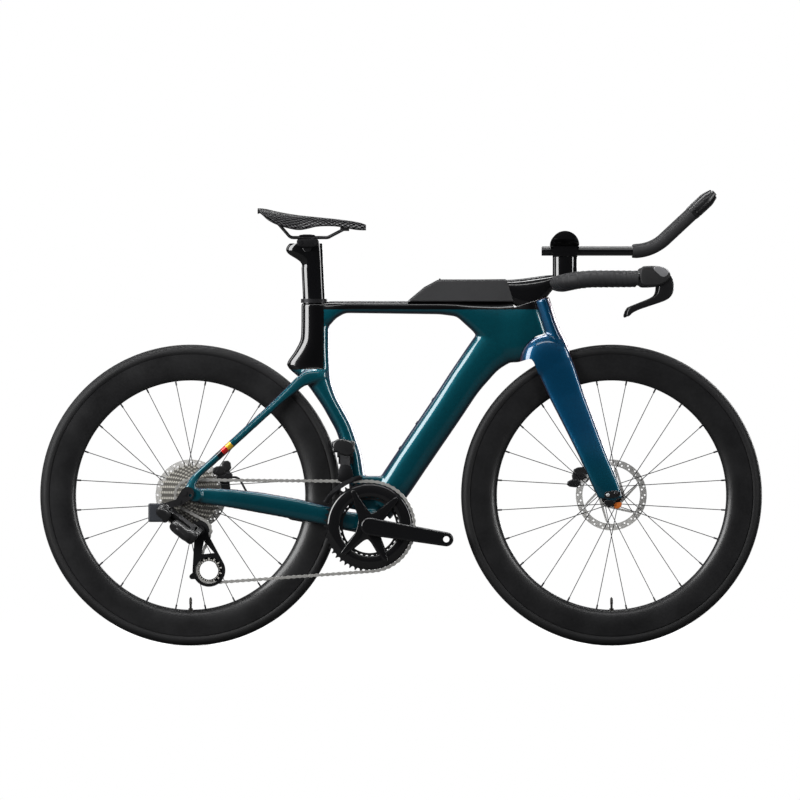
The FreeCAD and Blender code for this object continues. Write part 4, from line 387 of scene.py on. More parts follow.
def near(anchor):
    """Places given in millimetres forward of and above an anchor of the side view."""
    return lambda x, z: anchor + (x * MM, 0, z * MM)


at_rear, at_front, at_bottom = near(rear), near(front), near(bottom)
at_seat, at_crown, at_head = near(seat), near(crown), near(head)


def outlines(at, *rows, side=1):
    """Outlines of a tube near an anchor: two edge places, half width and place across, in millimetres."""
    return [(at(x, z), at(u, w), half, side * across) for x, z, u, w, half, across in rows]


def distance_along(path):
    """How far each point of a path lies from its start: the running sum of its steps."""
    return np.concatenate([[0], np.cumsum(np.linalg.norm(np.diff(path, axis=0), axis=1))])


def signed_power(share, power):
    """A share raised to a power with its sign kept: sign(s) |s|^power."""
    return np.sign(share) * np.abs(share) ** power


def tube(stations, squareness=2.4, along=150, around=72, ease=0.06):
    """A loft of outlines given as (edge place, edge place, half width and place across in millimetres).

    The stations are joined by straight lines over their distance, then averaged along the tube with a
    window of the ease share, so they flow. Each outline is mid + reach |cos|^p across its long axis and
    half width |sin|^p across the bike, with p = 2 / squareness.
    """
    rows = np.array([[*a, *b, half * MM, y * MM] for a, b, half, y in stations])
    middle = (rows[:, :3] + rows[:, 3:6]) / 2 + np.stack([0 * rows[:, 7], rows[:, 7], 0 * rows[:, 7]], -1)
    travelled = distance_along(middle)
    wanted = np.linspace(0, travelled[-1], along)
    table = np.stack([np.interp(wanted, travelled, column) for column in rows.T], -1)
    window = max(3, int(along * ease)) | 1
    for repeat in range(2):
        reach = np.minimum(np.minimum(np.arange(along), np.arange(along)[::-1]), window // 2)
        total = np.concatenate([np.zeros((1, 8)), np.cumsum(table, axis=0)])
        low, high = np.arange(along) - reach, np.arange(along) + reach + 1
        table = (total[high] - total[low]) / (high - low)[:, None]
    angle = full_turn(around)
    along_axis = signed_power(np.cos(angle), 2 / squareness)
    across = signed_power(np.sin(angle), 2 / squareness)
    mid = (table[:, :3] + table[:, 3:6]) / 2
    half = (table[:, 3:6] - table[:, :3]) / 2
    grid = mid[:, None, :] + half[:, None, :] * along_axis[None, :, None]
    grid[:, :, 1] += table[:, 7, None] + table[:, 6, None] * across
    return closed_tube(grid)


def evaluated(piece):
    """Replace a piece's mesh by the result of its modifiers, and clear them."""
    result = bpy.data.meshes.new_from_object(piece.evaluated_get(bpy.context.evaluated_depsgraph_get()))
    piece.modifiers.clear()
    piece.data = result


def moulded(name, surfaces, voxel, relax):
    """Join closed surfaces into one skin by voxels, then relax it so that they run into each other."""
    piece = add_piece(name, surfaces)
    remesh = piece.modifiers.new("skin", "REMESH")
    remesh.mode = "VOXEL"
    remesh.voxel_size = voxel
    relaxing = piece.modifiers.new("relax", "SMOOTH")
    relaxing.factor = 0.5
    relaxing.iterations = relax
    evaluated(piece)
    return piece


def carve(piece, surfaces, operation="DIFFERENCE"):
    """Cut closed surfaces out of a piece, or keep only what lies inside them."""
    tool = add_piece("tool", surfaces)
    cutting = piece.modifiers.new("carve", "BOOLEAN")
    cutting.operation = operation
    cutting.object = tool
    evaluated(piece)
    bpy.data.objects.remove(tool)
    smooth(piece, 40)


def ball(centre, radius):
    """A sphere as rings of radius sin t at heights cos t."""
    t = np.linspace(0, math.pi, 48)[1:-1]
    return closed_tube(lathe(centre, (0, 0, 1), np.stack([radius * np.sin(t), -radius * np.cos(t)], -1), 96))


def drum(start, along, radius, length, steps=96):
    """A plain cylinder from a start place along a direction."""
    return closed_tube(lathe(start, along, ((radius, 0.0), (radius, length)), steps))


def cross_drum(middle, radius, half, steps=96):
    """A plain cylinder across the bike, from its middle."""
    return drum(middle - (0, half, 0), (0, 1, 0), radius, 2 * half, steps)


SEAT_TUBE_BACK, SEAT_TUBE_FACE = 0.358, 0.396


def wheel_station(degrees, half):
    """An outline across the lower seat tube, which follows the rear tyre at an even gap."""
    out = np.array([math.cos(math.radians(degrees)), 0, math.sin(math.radians(degrees))])
    return rear + out * SEAT_TUBE_BACK, rear + out * SEAT_TUBE_FACE, half, 0


SHELL_RADIUS, SHELL_HALF = 0.023, 0.034
HEAD_FOOT, HEAD_SPARE = 0.040, 0.012
DROPOUT_INNER, DROPOUT_OUTER, DROPOUT_RADIUS, DROPOUT_HALF = 67, 75, 0.0165, 0.004
seat_tube = outlines(
    at_seat, (-28, -9.5, 32, -9.5, 17, 0), (-28, -59, 35, -59, 17, 0), (-29, -93, 35, -93, 17, 0),
    (-45, -122, 35, -122, 17, 0), (-65, -148, 36, -148, 17, 0), (-48, -165, 37, -165, 18, 0),
    (-17, -189, 40, -189, 19, 0))
seat_tube += [wheel_station(*row) for row in ((34, 20), (24, 20), (14, 21), (4, 23), (-5, 26))]
top_tube = outlines(
    at_seat, (8, -12, 8, -66, 14, 0), (35, -5, 35, -62, 16, 0), (52, -5, 50, -44, 17, 0),
    (73, -5, 71, -32, 17, 0), (150, -5, 150, -33, 18, 0))
top_tube += outlines(
    at_crown, (-244, 134, -244, 104, 18, 0), (-208, 134, -206, 99, 18.5, 0), (-172, 133, -170, 66, 19, 0),
    (-108, 133, -108, -6, 20, 0), (-64, 140, -62, -4, 24, 0), (-46, 162, -10, 24, 24.6, 0))
down_tube = outlines(
    at_bottom, (2, 74, 46, 14, 27, 0), (28, 117, 91, 74, 26, 0), (68, 177, 130, 132, 24, 0),
    (142, 286, 206, 243, 23, 0))
down_tube += outlines(
    at_crown, (-220, -25, -157, -71, 22, 0), (-176, 40, -112, -20, 21, 0), (-140, 90, -70, 4, 19, 0))
bottom_shell = outlines(
    at_bottom, (-30, 34, 30, 34, 30, 0), (-28, 0, 28, 0, 33, 0), (-14, -26, 14, -26, 24, 0))
web = outlines(at_bottom, (-34, 113, 34, 113, 19, 0), (-30, 60, 30, 60, 24, 0), (-24, 10, 24, 10, 28, 0))
frame_tubes = [
    tube(seat_tube, 2.1, ease=0.03), tube(top_tube, 2.8, ease=0.02), tube(down_tube, 2.3),
    tube(bottom_shell, 2.2), tube(web, 3.2, ease=0.02), cross_drum(bottom, SHELL_RADIUS, SHELL_HALF),
    drum(crown + steer_up * HEAD_FOOT, steer_up, HEAD_RADIUS, HEAD_LENGTH - HEAD_FOOT + HEAD_SPARE)]
for side in (-1, 1):
    chain_stay = outlines(at_bottom, (-20, 30, -16, -12, 8, 22), side=side)
    chain_stay += outlines(
        at_rear, (359, -38, 359, -81, 8, 27), (303, -23, 303, -68, 8, 32), (246, -9, 246, -57, 8.5, 40),
        (154, 7, 154, -40, 9, 55), (89, 14, 89, -28, 8, 66), (32, 17, 32, -20, 6, DROPOUT_INNER),
        (2, 17, 2, -15, 4, DROPOUT_OUTER), side=side)
    seat_stay = outlines(
        at_rear, (-14, 16, 10, 16, 4.5, DROPOUT_OUTER), (-1, 41, 23, 41, 5.5, DROPOUT_INNER),
        (89, 124, 112, 121, 6.5, 62), (187, 214, 211, 211, 6.5, 38), (238, 266, 257, 246, 6.5, 26),
        (258, 281, 268, 247, 7, 22), (284, 283, 284, 253, 7, 17), (306, 281, 306, 257, 7, 9), side=side)
    dropout = at_rear(10, 1) + (0, side * DROPOUT_OUTER * MM, 0)
    frame_tubes += [tube(chain_stay, 2.6), tube(seat_stay, 2.4, ease=0.02),
                    cross_drum(dropout, DROPOUT_RADIUS, DROPOUT_HALF)]
frame_skin = moulded("frame_skin", frame_tubes, voxel=0.0026, relax=12)
POST_LEAN, SOCKET_CHORD, SOCKET_HALF, SOCKET_AHEAD = math.radians(2.7), 50.4, 12.2, 0.001
post_up = np.array([-math.sin(POST_LEAN), 0, math.cos(POST_LEAN)])


def socket_station(height):
    """An outline across the post's socket at a height above the seat tube's top, in millimetres."""
    middle = seat + post_up * height * MM + (SOCKET_AHEAD, 0, 0)
    reach = np.array([SOCKET_CHORD / 2 * MM, 0, 0])
    return middle - reach, middle + reach, SOCKET_HALF, 0


HEAD_CUT_RADIUS, HEAD_CUT_LENGTH, HEAD_CUT_DEPTH = 0.041, 0.06, 0.0002
carve(frame_skin, [ball(crown, CROWN_BALL),
                   drum(head - steer_up * HEAD_CUT_DEPTH, steer_up, HEAD_CUT_RADIUS, HEAD_CUT_LENGTH),
                   tube([socket_station(-165), socket_station(40)], 2.2, along=8)])

# Frame paint: a pearl lacquer that is teal where a surface faces sideways, with a painted violet sheen
# where it turns away and painted shade on its undersides, a gloss black field over the top tube and the
# back of the seat tube, and three bands on one stay.
pearl_group, graph, given, out = group_of(
    "pearl_paint",
    [("Face", COLOUR, (0, 0.05, 0.07, 1)), ("Edge", COLOUR, (0.1, 0.06, 0.2, 1)),
     ("Under", COLOUR, (0.01, 0.01, 0.02, 1))],
    [("Colour", COLOUR), ("Fleck", NUMBER)])
where = graph.place()[0]
normal = graph.node("ShaderNodeTexCoord").outputs["Normal"]
facing = graph.node("ShaderNodeSeparateXYZ", Vector=normal).outputs
away = graph.math("SUBTRACT", 1.0, graph.math("ABSOLUTE", facing["Y"]))
flecks = graph.node("ShaderNodeTexVoronoi", Vector=where, Scale=1400.0).outputs["Color"]
fleck = graph.node("ShaderNodeSeparateXYZ", Vector=flecks).outputs["X"]
# Painted sheen: surfaces that turn away from the side take the second colour, as the pearl's sheen.
turning = graph.mix(graph.step(away, 0.12, 0.85), given["Face"], given["Edge"])
# Painted shade: surfaces that face down are darkened towards the third colour.
low = graph.math("MULTIPLY", graph.step(graph.math("MULTIPLY", facing["Z"], -1.0), 0.1, 0.8), 0.8)
turning = graph.mix(low, turning, given["Under"])
sparkle = graph.math("ADD", graph.math("MULTIPLY", fleck, 0.4), 0.8)
pearl = graph.node("ShaderNodeHueSaturation", Color=turning, Value=sparkle)
graph.feed(out["Colour"], pearl.outputs["Color"])
graph.feed(out["Fleck"], fleck)


def pearl_paint(name, face, edge, under):
    """A pearl paint under a clear lacquer, with painted sheen where surfaces turn away and painted shade
    underneath.
    """
    made, graph, shader = new_material(name)
    paint = graph.node("ShaderNodeGroup", {"node_tree": pearl_group}, Face=face, Edge=edge, Under=under)
    rough = graph.math("ADD", graph.math("MULTIPLY", paint.outputs["Fleck"], 0.08), 0.36)
    for socket, value in (("Base Color", paint.outputs["Colour"]), ("Roughness", rough), ("Metallic", 0.62),
                          ("Specular IOR Level", 0.05), ("Coat Weight", 1.0), ("Coat Roughness", 0.09)):
        graph.feed(shader.inputs[socket], value)
    return made


def opened(material):
    """A material's graph, its shader and the colour that feeds it, to lay more fields over that colour."""
    shader = material.node_tree.nodes["Principled BSDF"]
    return Graph(material.node_tree), shader, shader.inputs["Base Color"].links[0].from_socket


# The second colour is a painted violet sheen and the third a painted shade for undersides.
TEAL, VIOLET_SHEEN, UNDERSIDE_SHADE = (0.0002, 0.0440, 0.0600, 1), (0.042, 0.034, 0.085, 1), (0.001, 0.005, 0.008, 1)
FIELD_BLACK = (0.0024, 0.0024, 0.0027, 1)
FIELD_FOOT, FIELD_BACK, FIELD_BLUR = 0.757, -0.174, 0.0004
SEAT_FIELD_FOOT, SEAT_FIELD_SLOPE = 0.623, 0.02
frame_paint = pearl_paint("frame_paint", TEAL, VIOLET_SHEEN, UNDERSIDE_SHADE)
graph, shader, colour = opened(frame_paint)
x, y, z = graph.place()[1]
over_top = graph.math("MULTIPLY", graph.step(z, FIELD_FOOT - FIELD_BLUR, FIELD_FOOT + FIELD_BLUR),
                      graph.step(x, FIELD_BACK - FIELD_BLUR, FIELD_BACK + FIELD_BLUR))
seat_drop = graph.math("MULTIPLY", graph.math("SUBTRACT", x, FIELD_BACK), SEAT_FIELD_SLOPE)
seat_line = graph.math("ADD", seat_drop, SEAT_FIELD_FOOT)
over_seat = graph.math("MULTIPLY", graph.math("GREATER_THAN", z, seat_line),
                       graph.math("LESS_THAN", x, FIELD_BACK))
colour = graph.mix(graph.math("MAXIMUM", over_top, over_seat), colour, FIELD_BLACK)
BANDS = (0.004, 0.004, 0.005, 1), (0.36, 0.011, 0.008, 1), (0.5, 0.3, 0.02, 1)
BAND_START, BAND_WIDTH, BAND_SIDE, BAND_FOOT = 0.6476, 0.014, -0.03, 0.415
STAY_FROM, STAY_RUN, STAY_RISE = -0.9, 0.736, 0.677
forward_share = graph.math("MULTIPLY", graph.math("SUBTRACT", x, STAY_FROM), STAY_RUN)
along_stay = graph.math("ADD", forward_share, graph.math("MULTIPLY", z, STAY_RISE))
on_stay = graph.math("MULTIPLY", graph.math("LESS_THAN", y, BAND_SIDE),
                     graph.math("GREATER_THAN", z, BAND_FOOT))
for place, band in enumerate(BANDS):
    low_end = BAND_START + place * BAND_WIDTH
    inside = graph.math("MULTIPLY", graph.math("GREATER_THAN", along_stay, low_end),
                        graph.math("LESS_THAN", along_stay, low_end + BAND_WIDTH))
    colour = graph.mix(graph.math("MULTIPLY", inside, on_stay), colour, band)
graph.feed(shader.inputs["Base Color"], colour)
frame_skin.data.materials.append(frame_paint)
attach(frame_skin, "frame")
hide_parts("frame", "chainstays", "seatstays")

# Bottle bosses: three short collars of black alloy riveted into the down tube, their threads open. They
# point at the seat tube, where a bottle would stand.
BOSS = ((0.0042, 0), (0.0042, 0.0016), (0.0036, 0.0022), (0.0028, 0.0022), (0.0026, 0.0006), (0.0, 0.0006))
BOSS_PLACES, BOSS_SINK = ((68, 177), (106, 233), (142, 286)), 0.001
boss_out = np.array([-0.8316, 0, 0.5554])
bosses = [closed_tube(lathe(at_bottom(x, z) - boss_out * BOSS_SINK, boss_out, BOSS)) for x, z in BOSS_PLACES]
boss_rings = add_piece("frame_boss_rings", bosses, material=hub_black)
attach(boss_rings, "frame")

# Fork: crown, nose and two bladed legs in one carbon moulding, in a bluer pearl than the frame, with a
# painted copper sheen at its front edges, where surfaces turn away from the side, and painted shade on
# its undersides. The crown is a flattened dome that swings in the frame's hollow.
steer_out = np.array([steer_up[2], 0, -steer_up[0]])


def steer_point(out, height):
    """A place in the side view, in millimetres out from and up the steering axis."""
    return crown + steer_out * out * MM + steer_up * height * MM


def slab(outline, anchor, middle, half, edge, rings=9):
    """A plate from a side outline in millimetres, its edges turned over by a radius.

    Rings run across the plate; a ring at an angle t lies edge (1 - cos t) inside the outline.
    """
    ahead = np.roll(outline, -1, axis=0) - np.roll(outline, 1, axis=0)
    ahead /= np.linalg.norm(ahead, axis=1)[:, None] + 1e-12
    inward = np.stack([-ahead[:, 1], ahead[:, 0]], -1)
    x, z = outline.T
    if (x * np.roll(z, -1) - np.roll(x, -1) * z).sum() < 0:
        inward = -inward
    turn = np.linspace(-math.pi / 2, math.pi / 2, rings)
    flat = outline + edge * (1 - np.cos(turn))[:, None, None] * inward
    place = middle + np.sign(np.sin(turn)) * (half - edge) + edge * np.sin(turn)
    place[rings // 2] = middle
    across = np.broadcast_to(place[:, None], flat.shape[:2])
    points = np.stack([flat[..., 0], across, flat[..., 1]], -1) * MM + anchor
    count = len(outline)
    caps = [list(range(count))[::-1], list(range((rings - 1) * count, rings * count))]
    return points.reshape(-1, 3), grid_quads(rings, count).tolist() + caps


def rounded(outline, turns=3):
    """Cut the corners of a closed outline: each edge keeps its middle half, turn after turn."""
    outline = np.array(outline, float)
    for turn in range(turns):
        following = np.roll(outline, -1, axis=0)
        pairs = np.stack([outline * 0.75 + following * 0.25, outline * 0.25 + following * 0.75], 1)
        outline = pairs.reshape(-1, 2)
    return outline


CROWN_GAP, CROWN_HALF, CROWN_SQUARE = 0.0004, 0.038, 0.7
CROWN_LIMITS = ((-62, -24, 48), (-26, -30, 52), (4, -70, 52), (30, -70, 49), (70, -70, 42))
turn = np.linspace(0, math.pi, 64)[1:-1]
crown_profile = np.stack([(CROWN_BALL - CROWN_GAP) * np.sin(turn) ** CROWN_SQUARE,
                          -CROWN_HALF * signed_power(np.cos(turn), CROWN_SQUARE)], -1)
crown_block = add_piece("crown_block", [closed_tube(lathe(crown, (0, 1, 0), crown_profile, 128))])
carve(crown_block, [tube([(steer_point(back, height), steer_point(face, height), 70, 0)
                          for height, back, face in CROWN_LIMITS], 3.4, ease=0.02)], "INTERSECT")
crown_points = np.empty(len(crown_block.data.vertices) * 3)
crown_block.data.vertices.foreach_get("co", crown_points)
crown_faces = [list(face.vertices) for face in crown_block.data.polygons]
bpy.data.objects.remove(crown_block)
NOSE = ((8, -18), (30, -31), (39, -27), (45, -12), (45, 12), (39, 27), (30, 31), (8, 18))
NOSE_MIDDLE = 9
nose_edge = rounded(NOSE, 1)
nose_rows = np.array(((20, 1.24), (30, 1.22), (52, 1.08), (80, 1.0), (137, 1.0)))
nose_out = NOSE_MIDDLE + (nose_edge[None, :, 0] - NOSE_MIDDLE) * nose_rows[:, 1, None]
nose_grid = crown + nose_out[..., None] * MM * steer_out + nose_rows[:, 0, None, None] * MM * steer_up
nose_grid[:, :, 1] += nose_edge[:, 1] * MM
TIP_SIDE, TIP_RADIUS, TIP_HALF = 0.0545, 0.0155, 0.0045
fork_tubes = [closed_tube(nose_grid)]
for side in (-1, 1):
    leg = outlines(at_crown, (-20, 30, 44, 26, 6, 25), (-31, -8, 58, -6, 9, 29), side=side)
    leg += outlines(
        at_front, (-144, 226, -62, 228, 8.5, 31), (-101, 142, -30, 142, 8, 41), (-74, 88, -10, 88, 7.5, 50),
        (-46, 25, 17, 25, 6.5, 55), (-30, -8, 24, -8, 5.5, 54.5), side=side)
    fork_tubes += [tube(leg), cross_drum(front + (0, side * TIP_SIDE, 0), TIP_RADIUS, TIP_HALF)]
fork_tubes.append((crown_points.reshape(-1, 3), crown_faces))
fork_skin = moulded("fork_skin", fork_tubes, voxel=0.0020, relax=18)
TYRE_ROOM, TUNNEL_HALF = 0.006, 0.020
HEAD_ROOM, HEAD_BORE_FOOT, HEAD_BORE_LENGTH = 0.0004, 57, 0.12
LIP = ((-96, 16.5), (-39, 16.5), (-34, 13), (-31.5, 5), (-29.5, -58), (-96, -58))
lip_edge = np.array([(steer_point(*place) - crown)[[0, 2]] / MM for place in LIP])
carve(fork_skin, [cross_drum(front, TYRE_RADIUS + TYRE_ROOM, TUNNEL_HALF, 192)])
carve(fork_skin, [drum(steer_point(0, HEAD_BORE_FOOT), steer_up, HEAD_RADIUS + HEAD_ROOM,
                       HEAD_BORE_LENGTH)])
carve(fork_skin, [slab(lip_edge, crown, middle=0, half=90, edge=0.01)])
# The second colour is a painted copper sheen; the fork's undersides take the frame's painted shade.
BLUE, COPPER_SHEEN = (0.0003, 0.035, 0.082, 1), (0.11, 0.05, 0.075, 1)
TEAL_BELOW, BLUE_ABOVE, TEAL_SHARE = 0.36, 0.50, 0.7
fork_paint = pearl_paint("fork_paint", BLUE, COPPER_SHEEN, UNDERSIDE_SHADE)
graph, shader, colour = opened(fork_paint)
turning = graph.math("SUBTRACT", 1.0, graph.step(graph.place()[1]["Z"], TEAL_BELOW, BLUE_ABOVE))
colour = graph.mix(graph.math("MULTIPLY", turning, TEAL_SHARE), colour, TEAL)
graph.feed(shader.inputs["Base Color"], colour)
fork_skin.data.materials.append(fork_paint)
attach(fork_skin, "steering")
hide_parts("fork")

# Fork ends: on the drive side a black axle plate with a bright key socket and a bolt, a rubber cap under
# the leg's tip and an orange tab that marks the axle's lever.
FORK_FACE, BOLT_STAND = -61.6, 0.0012
plate_black = finish("plate_black", (0.004, 0.004, 0.0045), 0.35, coat=0.5, scale=500)
socket_steel = finish("socket_steel", (0.4, 0.4, 0.4), 0.3, metallic=0.5, scale=500)
tab_orange = finish("tab_orange", (0.36, 0.085, 0.008), 0.45, scale=500, spread=0.15)
PLATE_EDGE = ((-17, -4), (-17, 4), (-11, 9), (13, 11), (19, 6), (19, -1), (12, -5), (-11, -7))
CAP_EDGE = ((-22, -11), (7, -10), (5, -20), (-4, -27), (-9, -27))
TAB_EDGE = ((3, -17), (21, -15), (23, -20), (19, -29), (5, -31))
BOLT = ((0.0, 0.0), (0.0042, 0.0), (0.0042, 0.0016), (0.0034, 0.0022), (0.0, 0.0022))
bolt_face = np.array([0, FORK_FACE * MM - BOLT_STAND, 0])
axle_bolt = closed_tube(lathe(at_front(9, 4) + bolt_face, (0, -1, 0), BOLT))
key_socket = closed_tube(lathe(at_front(-9, 1) + bolt_face, (0, -1, 0), BOLT))
end_plate = slab(rounded(PLATE_EDGE), front, FORK_FACE, 1.4, 0.6)
for name, surfaces, material, slot in (
        ("fork_end_plate", [end_plate, axle_bolt], plate_black, "satin_black"),
        ("fork_end_cap", [slab(rounded(CAP_EDGE, 1), front, -55, 6, 1.5)], plate_black, "satin_black"),
        ("fork_key_socket", [key_socket], socket_steel, "grey_metal"),
        ("fork_axle_tab", [slab(rounded(TAB_EDGE, 1), front, -52, 3, 1)], tab_orange, "grey_metal")):
    piece = add_piece(name, surfaces, material=material)
    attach(piece, "steering")

# Cockpit: a carbon base bar in one with its stem, two risers with arm cups, and two extensions clamped in
# them, all in gloss black lacquer over carbon. The shift buttons at their ends are satin nylon.
gloss_black = finish("gloss_black", (0.0026, 0.0026, 0.0029), 0.3, coat=1.0, scale=220, spread=0.5,
                     bump=0.000003, shine=0.02)
satin_black = finish("satin_black", (0.0075, 0.0075, 0.008), 0.5, scale=500, spread=0.3)
dress(gloss_black, "base_bar", "risers", "arm_cups", "extension_right", "extension_left")
dress(satin_black, "shift_button_right", "shift_button_left")

# Brake levers: a nylon hood on each bar end with a bright cap on its outer side, and a forged lever blade
# that hooks back under the bar. All are plates with rounded corners and edges.


def block(low, high):
    """A box between two corners."""
    x, y, z = (np.array(pair) for pair in zip(low, high))
    points = np.array([(x[i], y[j], z[k]) for i in (0, 1) for j in (0, 1) for k in (0, 1)])
    return points, [[0, 1, 3, 2], [4, 6, 7, 5], [0, 4, 5, 1], [2, 3, 7, 6], [0, 2, 6, 4], [1, 5, 7, 3]]


HOOD = ((243, 35), (243, 79), (266, 81), (292, 80), (308, 72), (314, 60), (308, 48), (292, 37), (274, 35))
CAP = ((277, 80), (300, 77), (309, 67), (304, 57), (293, 55), (284, 64), (274, 72))
LEVER = ((290, 70), (302, 71), (314, 61), (321, 43), (319, 18), (306, 4), (281, -4), (231, -21), (219, -34),
         (212, -31), (220, -11), (228, -7), (277, 12), (286, 22), (287, 50))
GRIP_SIDE, SLOT_HALF = 0.200, 0.0063
HOOD_HALF, HOOD_ROUND, LEVER_HALF, LEVER_ROUND = 14.5, 5, 6, 2.6
CAP_SIDE, CAP_HALF, CAP_ROUND = 213.8, 1.6, 0.8
lever_black = finish("lever_black", (0.0045, 0.0045, 0.005), 0.33, coat=0.4, scale=400, spread=0.3)
cap_silver = finish("cap_silver", (0.32, 0.32, 0.33), 0.3, metallic=0.7, scale=500)
hoods, caps = [], []
for side, word in ((-1, "right"), (1, "left")):
    middle = side * GRIP_SIDE / MM
    hoods.append(slab(rounded(HOOD), head, middle, HOOD_HALF, HOOD_ROUND))
    caps.append(slab(rounded(CAP), head, side * CAP_SIDE, CAP_HALF, CAP_ROUND))
    blade = slab(rounded(LEVER), head, middle, LEVER_HALF, LEVER_ROUND)
    lever = add_piece("lever_blade_" + word, [blade], material=lever_black)
    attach(lever, "brake lever " + word)
    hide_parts("brake_lever_" + word)
hood_shells = add_piece("hood_shells", hoods)
carve(hood_shells, [block(at_head(272, 12) + (0, side * GRIP_SIDE - SLOT_HALF, 0),
                          at_head(352, 74.5) + (0, side * GRIP_SIDE + SLOT_HALF, 0)) for side in (-1, 1)])
hood_shells.data.materials.append(satin_black)
hood_caps = add_piece("hood_caps", caps, material=cap_silver)
for piece, slot in ((hood_shells, "satin_black"), (hood_caps, "grey_metal")):
    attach(piece, "steering")
    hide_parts("lever_hoods")

# Grips: cork tape wound and stuck over the bar's ends, from the stem to the hoods, each turn lapping the
# last one by a small step.
TAPE_PITCH, TAPE_STEP = 0.013, 0.0011
TUCK_ROWS, TUCK_DEPTH = 10, 1.2
grip_tape = finish("grip_tape", (0.0105, 0.0105, 0.0115), 0.62, scale=1100, spread=0.45, bump=0.0002)


def taped(path, across, upright, lap_step=TAPE_STEP, around=96):
    """Tape wound on a path, from half sizes across it and upright, less a step that each turn laps.

    Rows follow the path; the lap's share is the fractional part of distance / pitch + angle / turn.
    """
    path, across, upright = (np.array(given, float) for given in (path, across, upright))
    ahead = np.gradient(path, axis=0)
    ahead /= np.linalg.norm(ahead, axis=1)[:, None]
    aside = np.cross(ahead, (0.0, 0.0, 1.0))
    aside /= np.linalg.norm(aside, axis=1)[:, None]
    upward = np.cross(aside, ahead)
    distance = distance_along(path)
    angle = full_turn(around)
    lap = np.mod(distance[:, None] / TAPE_PITCH + angle / (2 * math.pi), 1.0)
    step = lap_step * (1 - np.minimum(lap, (1 - lap) * 8))
    out_aside = (across[:, None] - step) * np.cos(angle)
    out_up = (upright[:, None] - step) * np.sin(angle)
    rings = path[:, None, :] + out_aside[..., None] * aside[:, None, :]
    return closed_tube(rings + out_up[..., None] * upward[:, None, :])


def evened(rows, reach):
    """Rows averaged three times with their neighbours up to reach rows away; the end rows are kept."""
    rows, count = rows.copy(), 2 * reach + 1
    for repeat in range(3):
        rows[reach:-reach] = sum(rows[i:len(rows) - 2 * reach + i] for i in range(count)) / count
    return rows


BAR_STATIONS = np.array(((72, 0.52, 43.5, 30, 18), (76, 0.69, 44, 27, 18.5), (86, 0.85, 46, 28, 18.8),
                         (106, 0.965, 50, 23, 18.8), (138, 1.0, 53, 17.8, 18), (190, 1.0, 53, 17.8, 17.8),
                         (241, 1.0, 53, 17.3, 17.3)))
wraps = []
bar_way = np.linspace(0, len(BAR_STATIONS) - 1, 400)
bar_rows = [np.interp(bar_way, np.arange(len(BAR_STATIONS)), column) for column in BAR_STATIONS.T]
bar_rows = evened(np.stack(bar_rows, -1), 12)
bar_rows[:TUCK_ROWS, 3:] -= np.linspace(TUCK_DEPTH, 0, TUCK_ROWS)[:, None]
for side in (-1, 1):
    bar_path = [at_head(x, z) + (0, side * share * GRIP_SIDE, 0) for x, share, z in bar_rows[:, :3]]
    wraps.append(taped(bar_path, bar_rows[:, 3] * MM, bar_rows[:, 4] * MM))
grips = add_piece("bar_tape", wraps, 60, material=grip_tape)
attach(grips, "steering")
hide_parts("bar_grips")

# Extension sleeves: smooth rubber pushed over each extension from its bend to its end, and a nylon pod
# plugged into the tip, which holds the shift button.
EXT_SIDE, EXT_HEIGHT, BEND_FROM, BEND_RADIUS, EXT_TAIL = 0.058, 116, 235, 100, 84
RISE = math.radians(43)
SLEEVE_STEP, SLEEVE_LEAD = 0.0001, 4
POD = ((0.0, -0.001), (0.0150, -0.001), (0.0165, 0.0005), (0.0168, 0.008), (0.0158, 0.0086),
       (0.0156, 0.0100), (0.0170, 0.0105), (0.0170, 0.044), (0.0160, 0.050), (0.0128, 0.0615),
       (0.0118, 0.0650), (0.0108, 0.0658), (0.0071, 0.0658), (0.0068, 0.0655), (0.0068, 0.0602),
       (0.0, 0.0602))
tail_out = np.array([math.cos(RISE), 0, math.sin(RISE)])
bend_turn = np.linspace(0, RISE, 60)
bend_x = BEND_FROM + BEND_RADIUS * np.sin(bend_turn)
bend_z = EXT_HEIGHT + BEND_RADIUS * (1 - np.cos(bend_turn))
lead_x = np.linspace(BEND_FROM - SLEEVE_LEAD, BEND_FROM, SLEEVE_LEAD + 1)[:-1]
tail_run = np.linspace(0, EXT_TAIL, 80)[1:]
sleeve_x = np.concatenate([lead_x, bend_x, bend_x[-1] + tail_run * tail_out[0]])
sleeve_z = np.concatenate([np.full(SLEEVE_LEAD, EXT_HEIGHT), bend_z, bend_z[-1] + tail_run * tail_out[2]])
sleeve_size = np.interp(np.arange(len(sleeve_x)), (0, 4, 8), (0.0145, 0.0152, 0.0156))
sleeve_rubber = finish("sleeve_rubber", (0.0100, 0.0100, 0.0110), 0.66, scale=1100, spread=0.35, bump=0.0)
pod_black = finish("pod_black", (0.0036, 0.0036, 0.0040), 0.30, scale=700, spread=0.2, bump=0.0, shine=0.4)
for side, word in ((-1, "right"), (1, "left")):
    aside = np.array([0, side * EXT_SIDE, 0])
    sleeve_path = np.array([at_head(x, z) + aside for x, z in zip(sleeve_x, sleeve_z)])
    sleeve_skin = taped(sleeve_path, sleeve_size, sleeve_size, SLEEVE_STEP)
    sleeve = add_piece("extension_tape_" + word, [sleeve_skin], 60, material=sleeve_rubber)
    pod_skin = closed_tube(lathe(sleeve_path[-1], tail_out, POD, 64))
    pod = add_piece("end_pod_" + word, [pod_skin], material=pod_black)
    for piece in (sleeve, pod):
        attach(piece, "extension " + word)
        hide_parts("extension_grip_" + word)

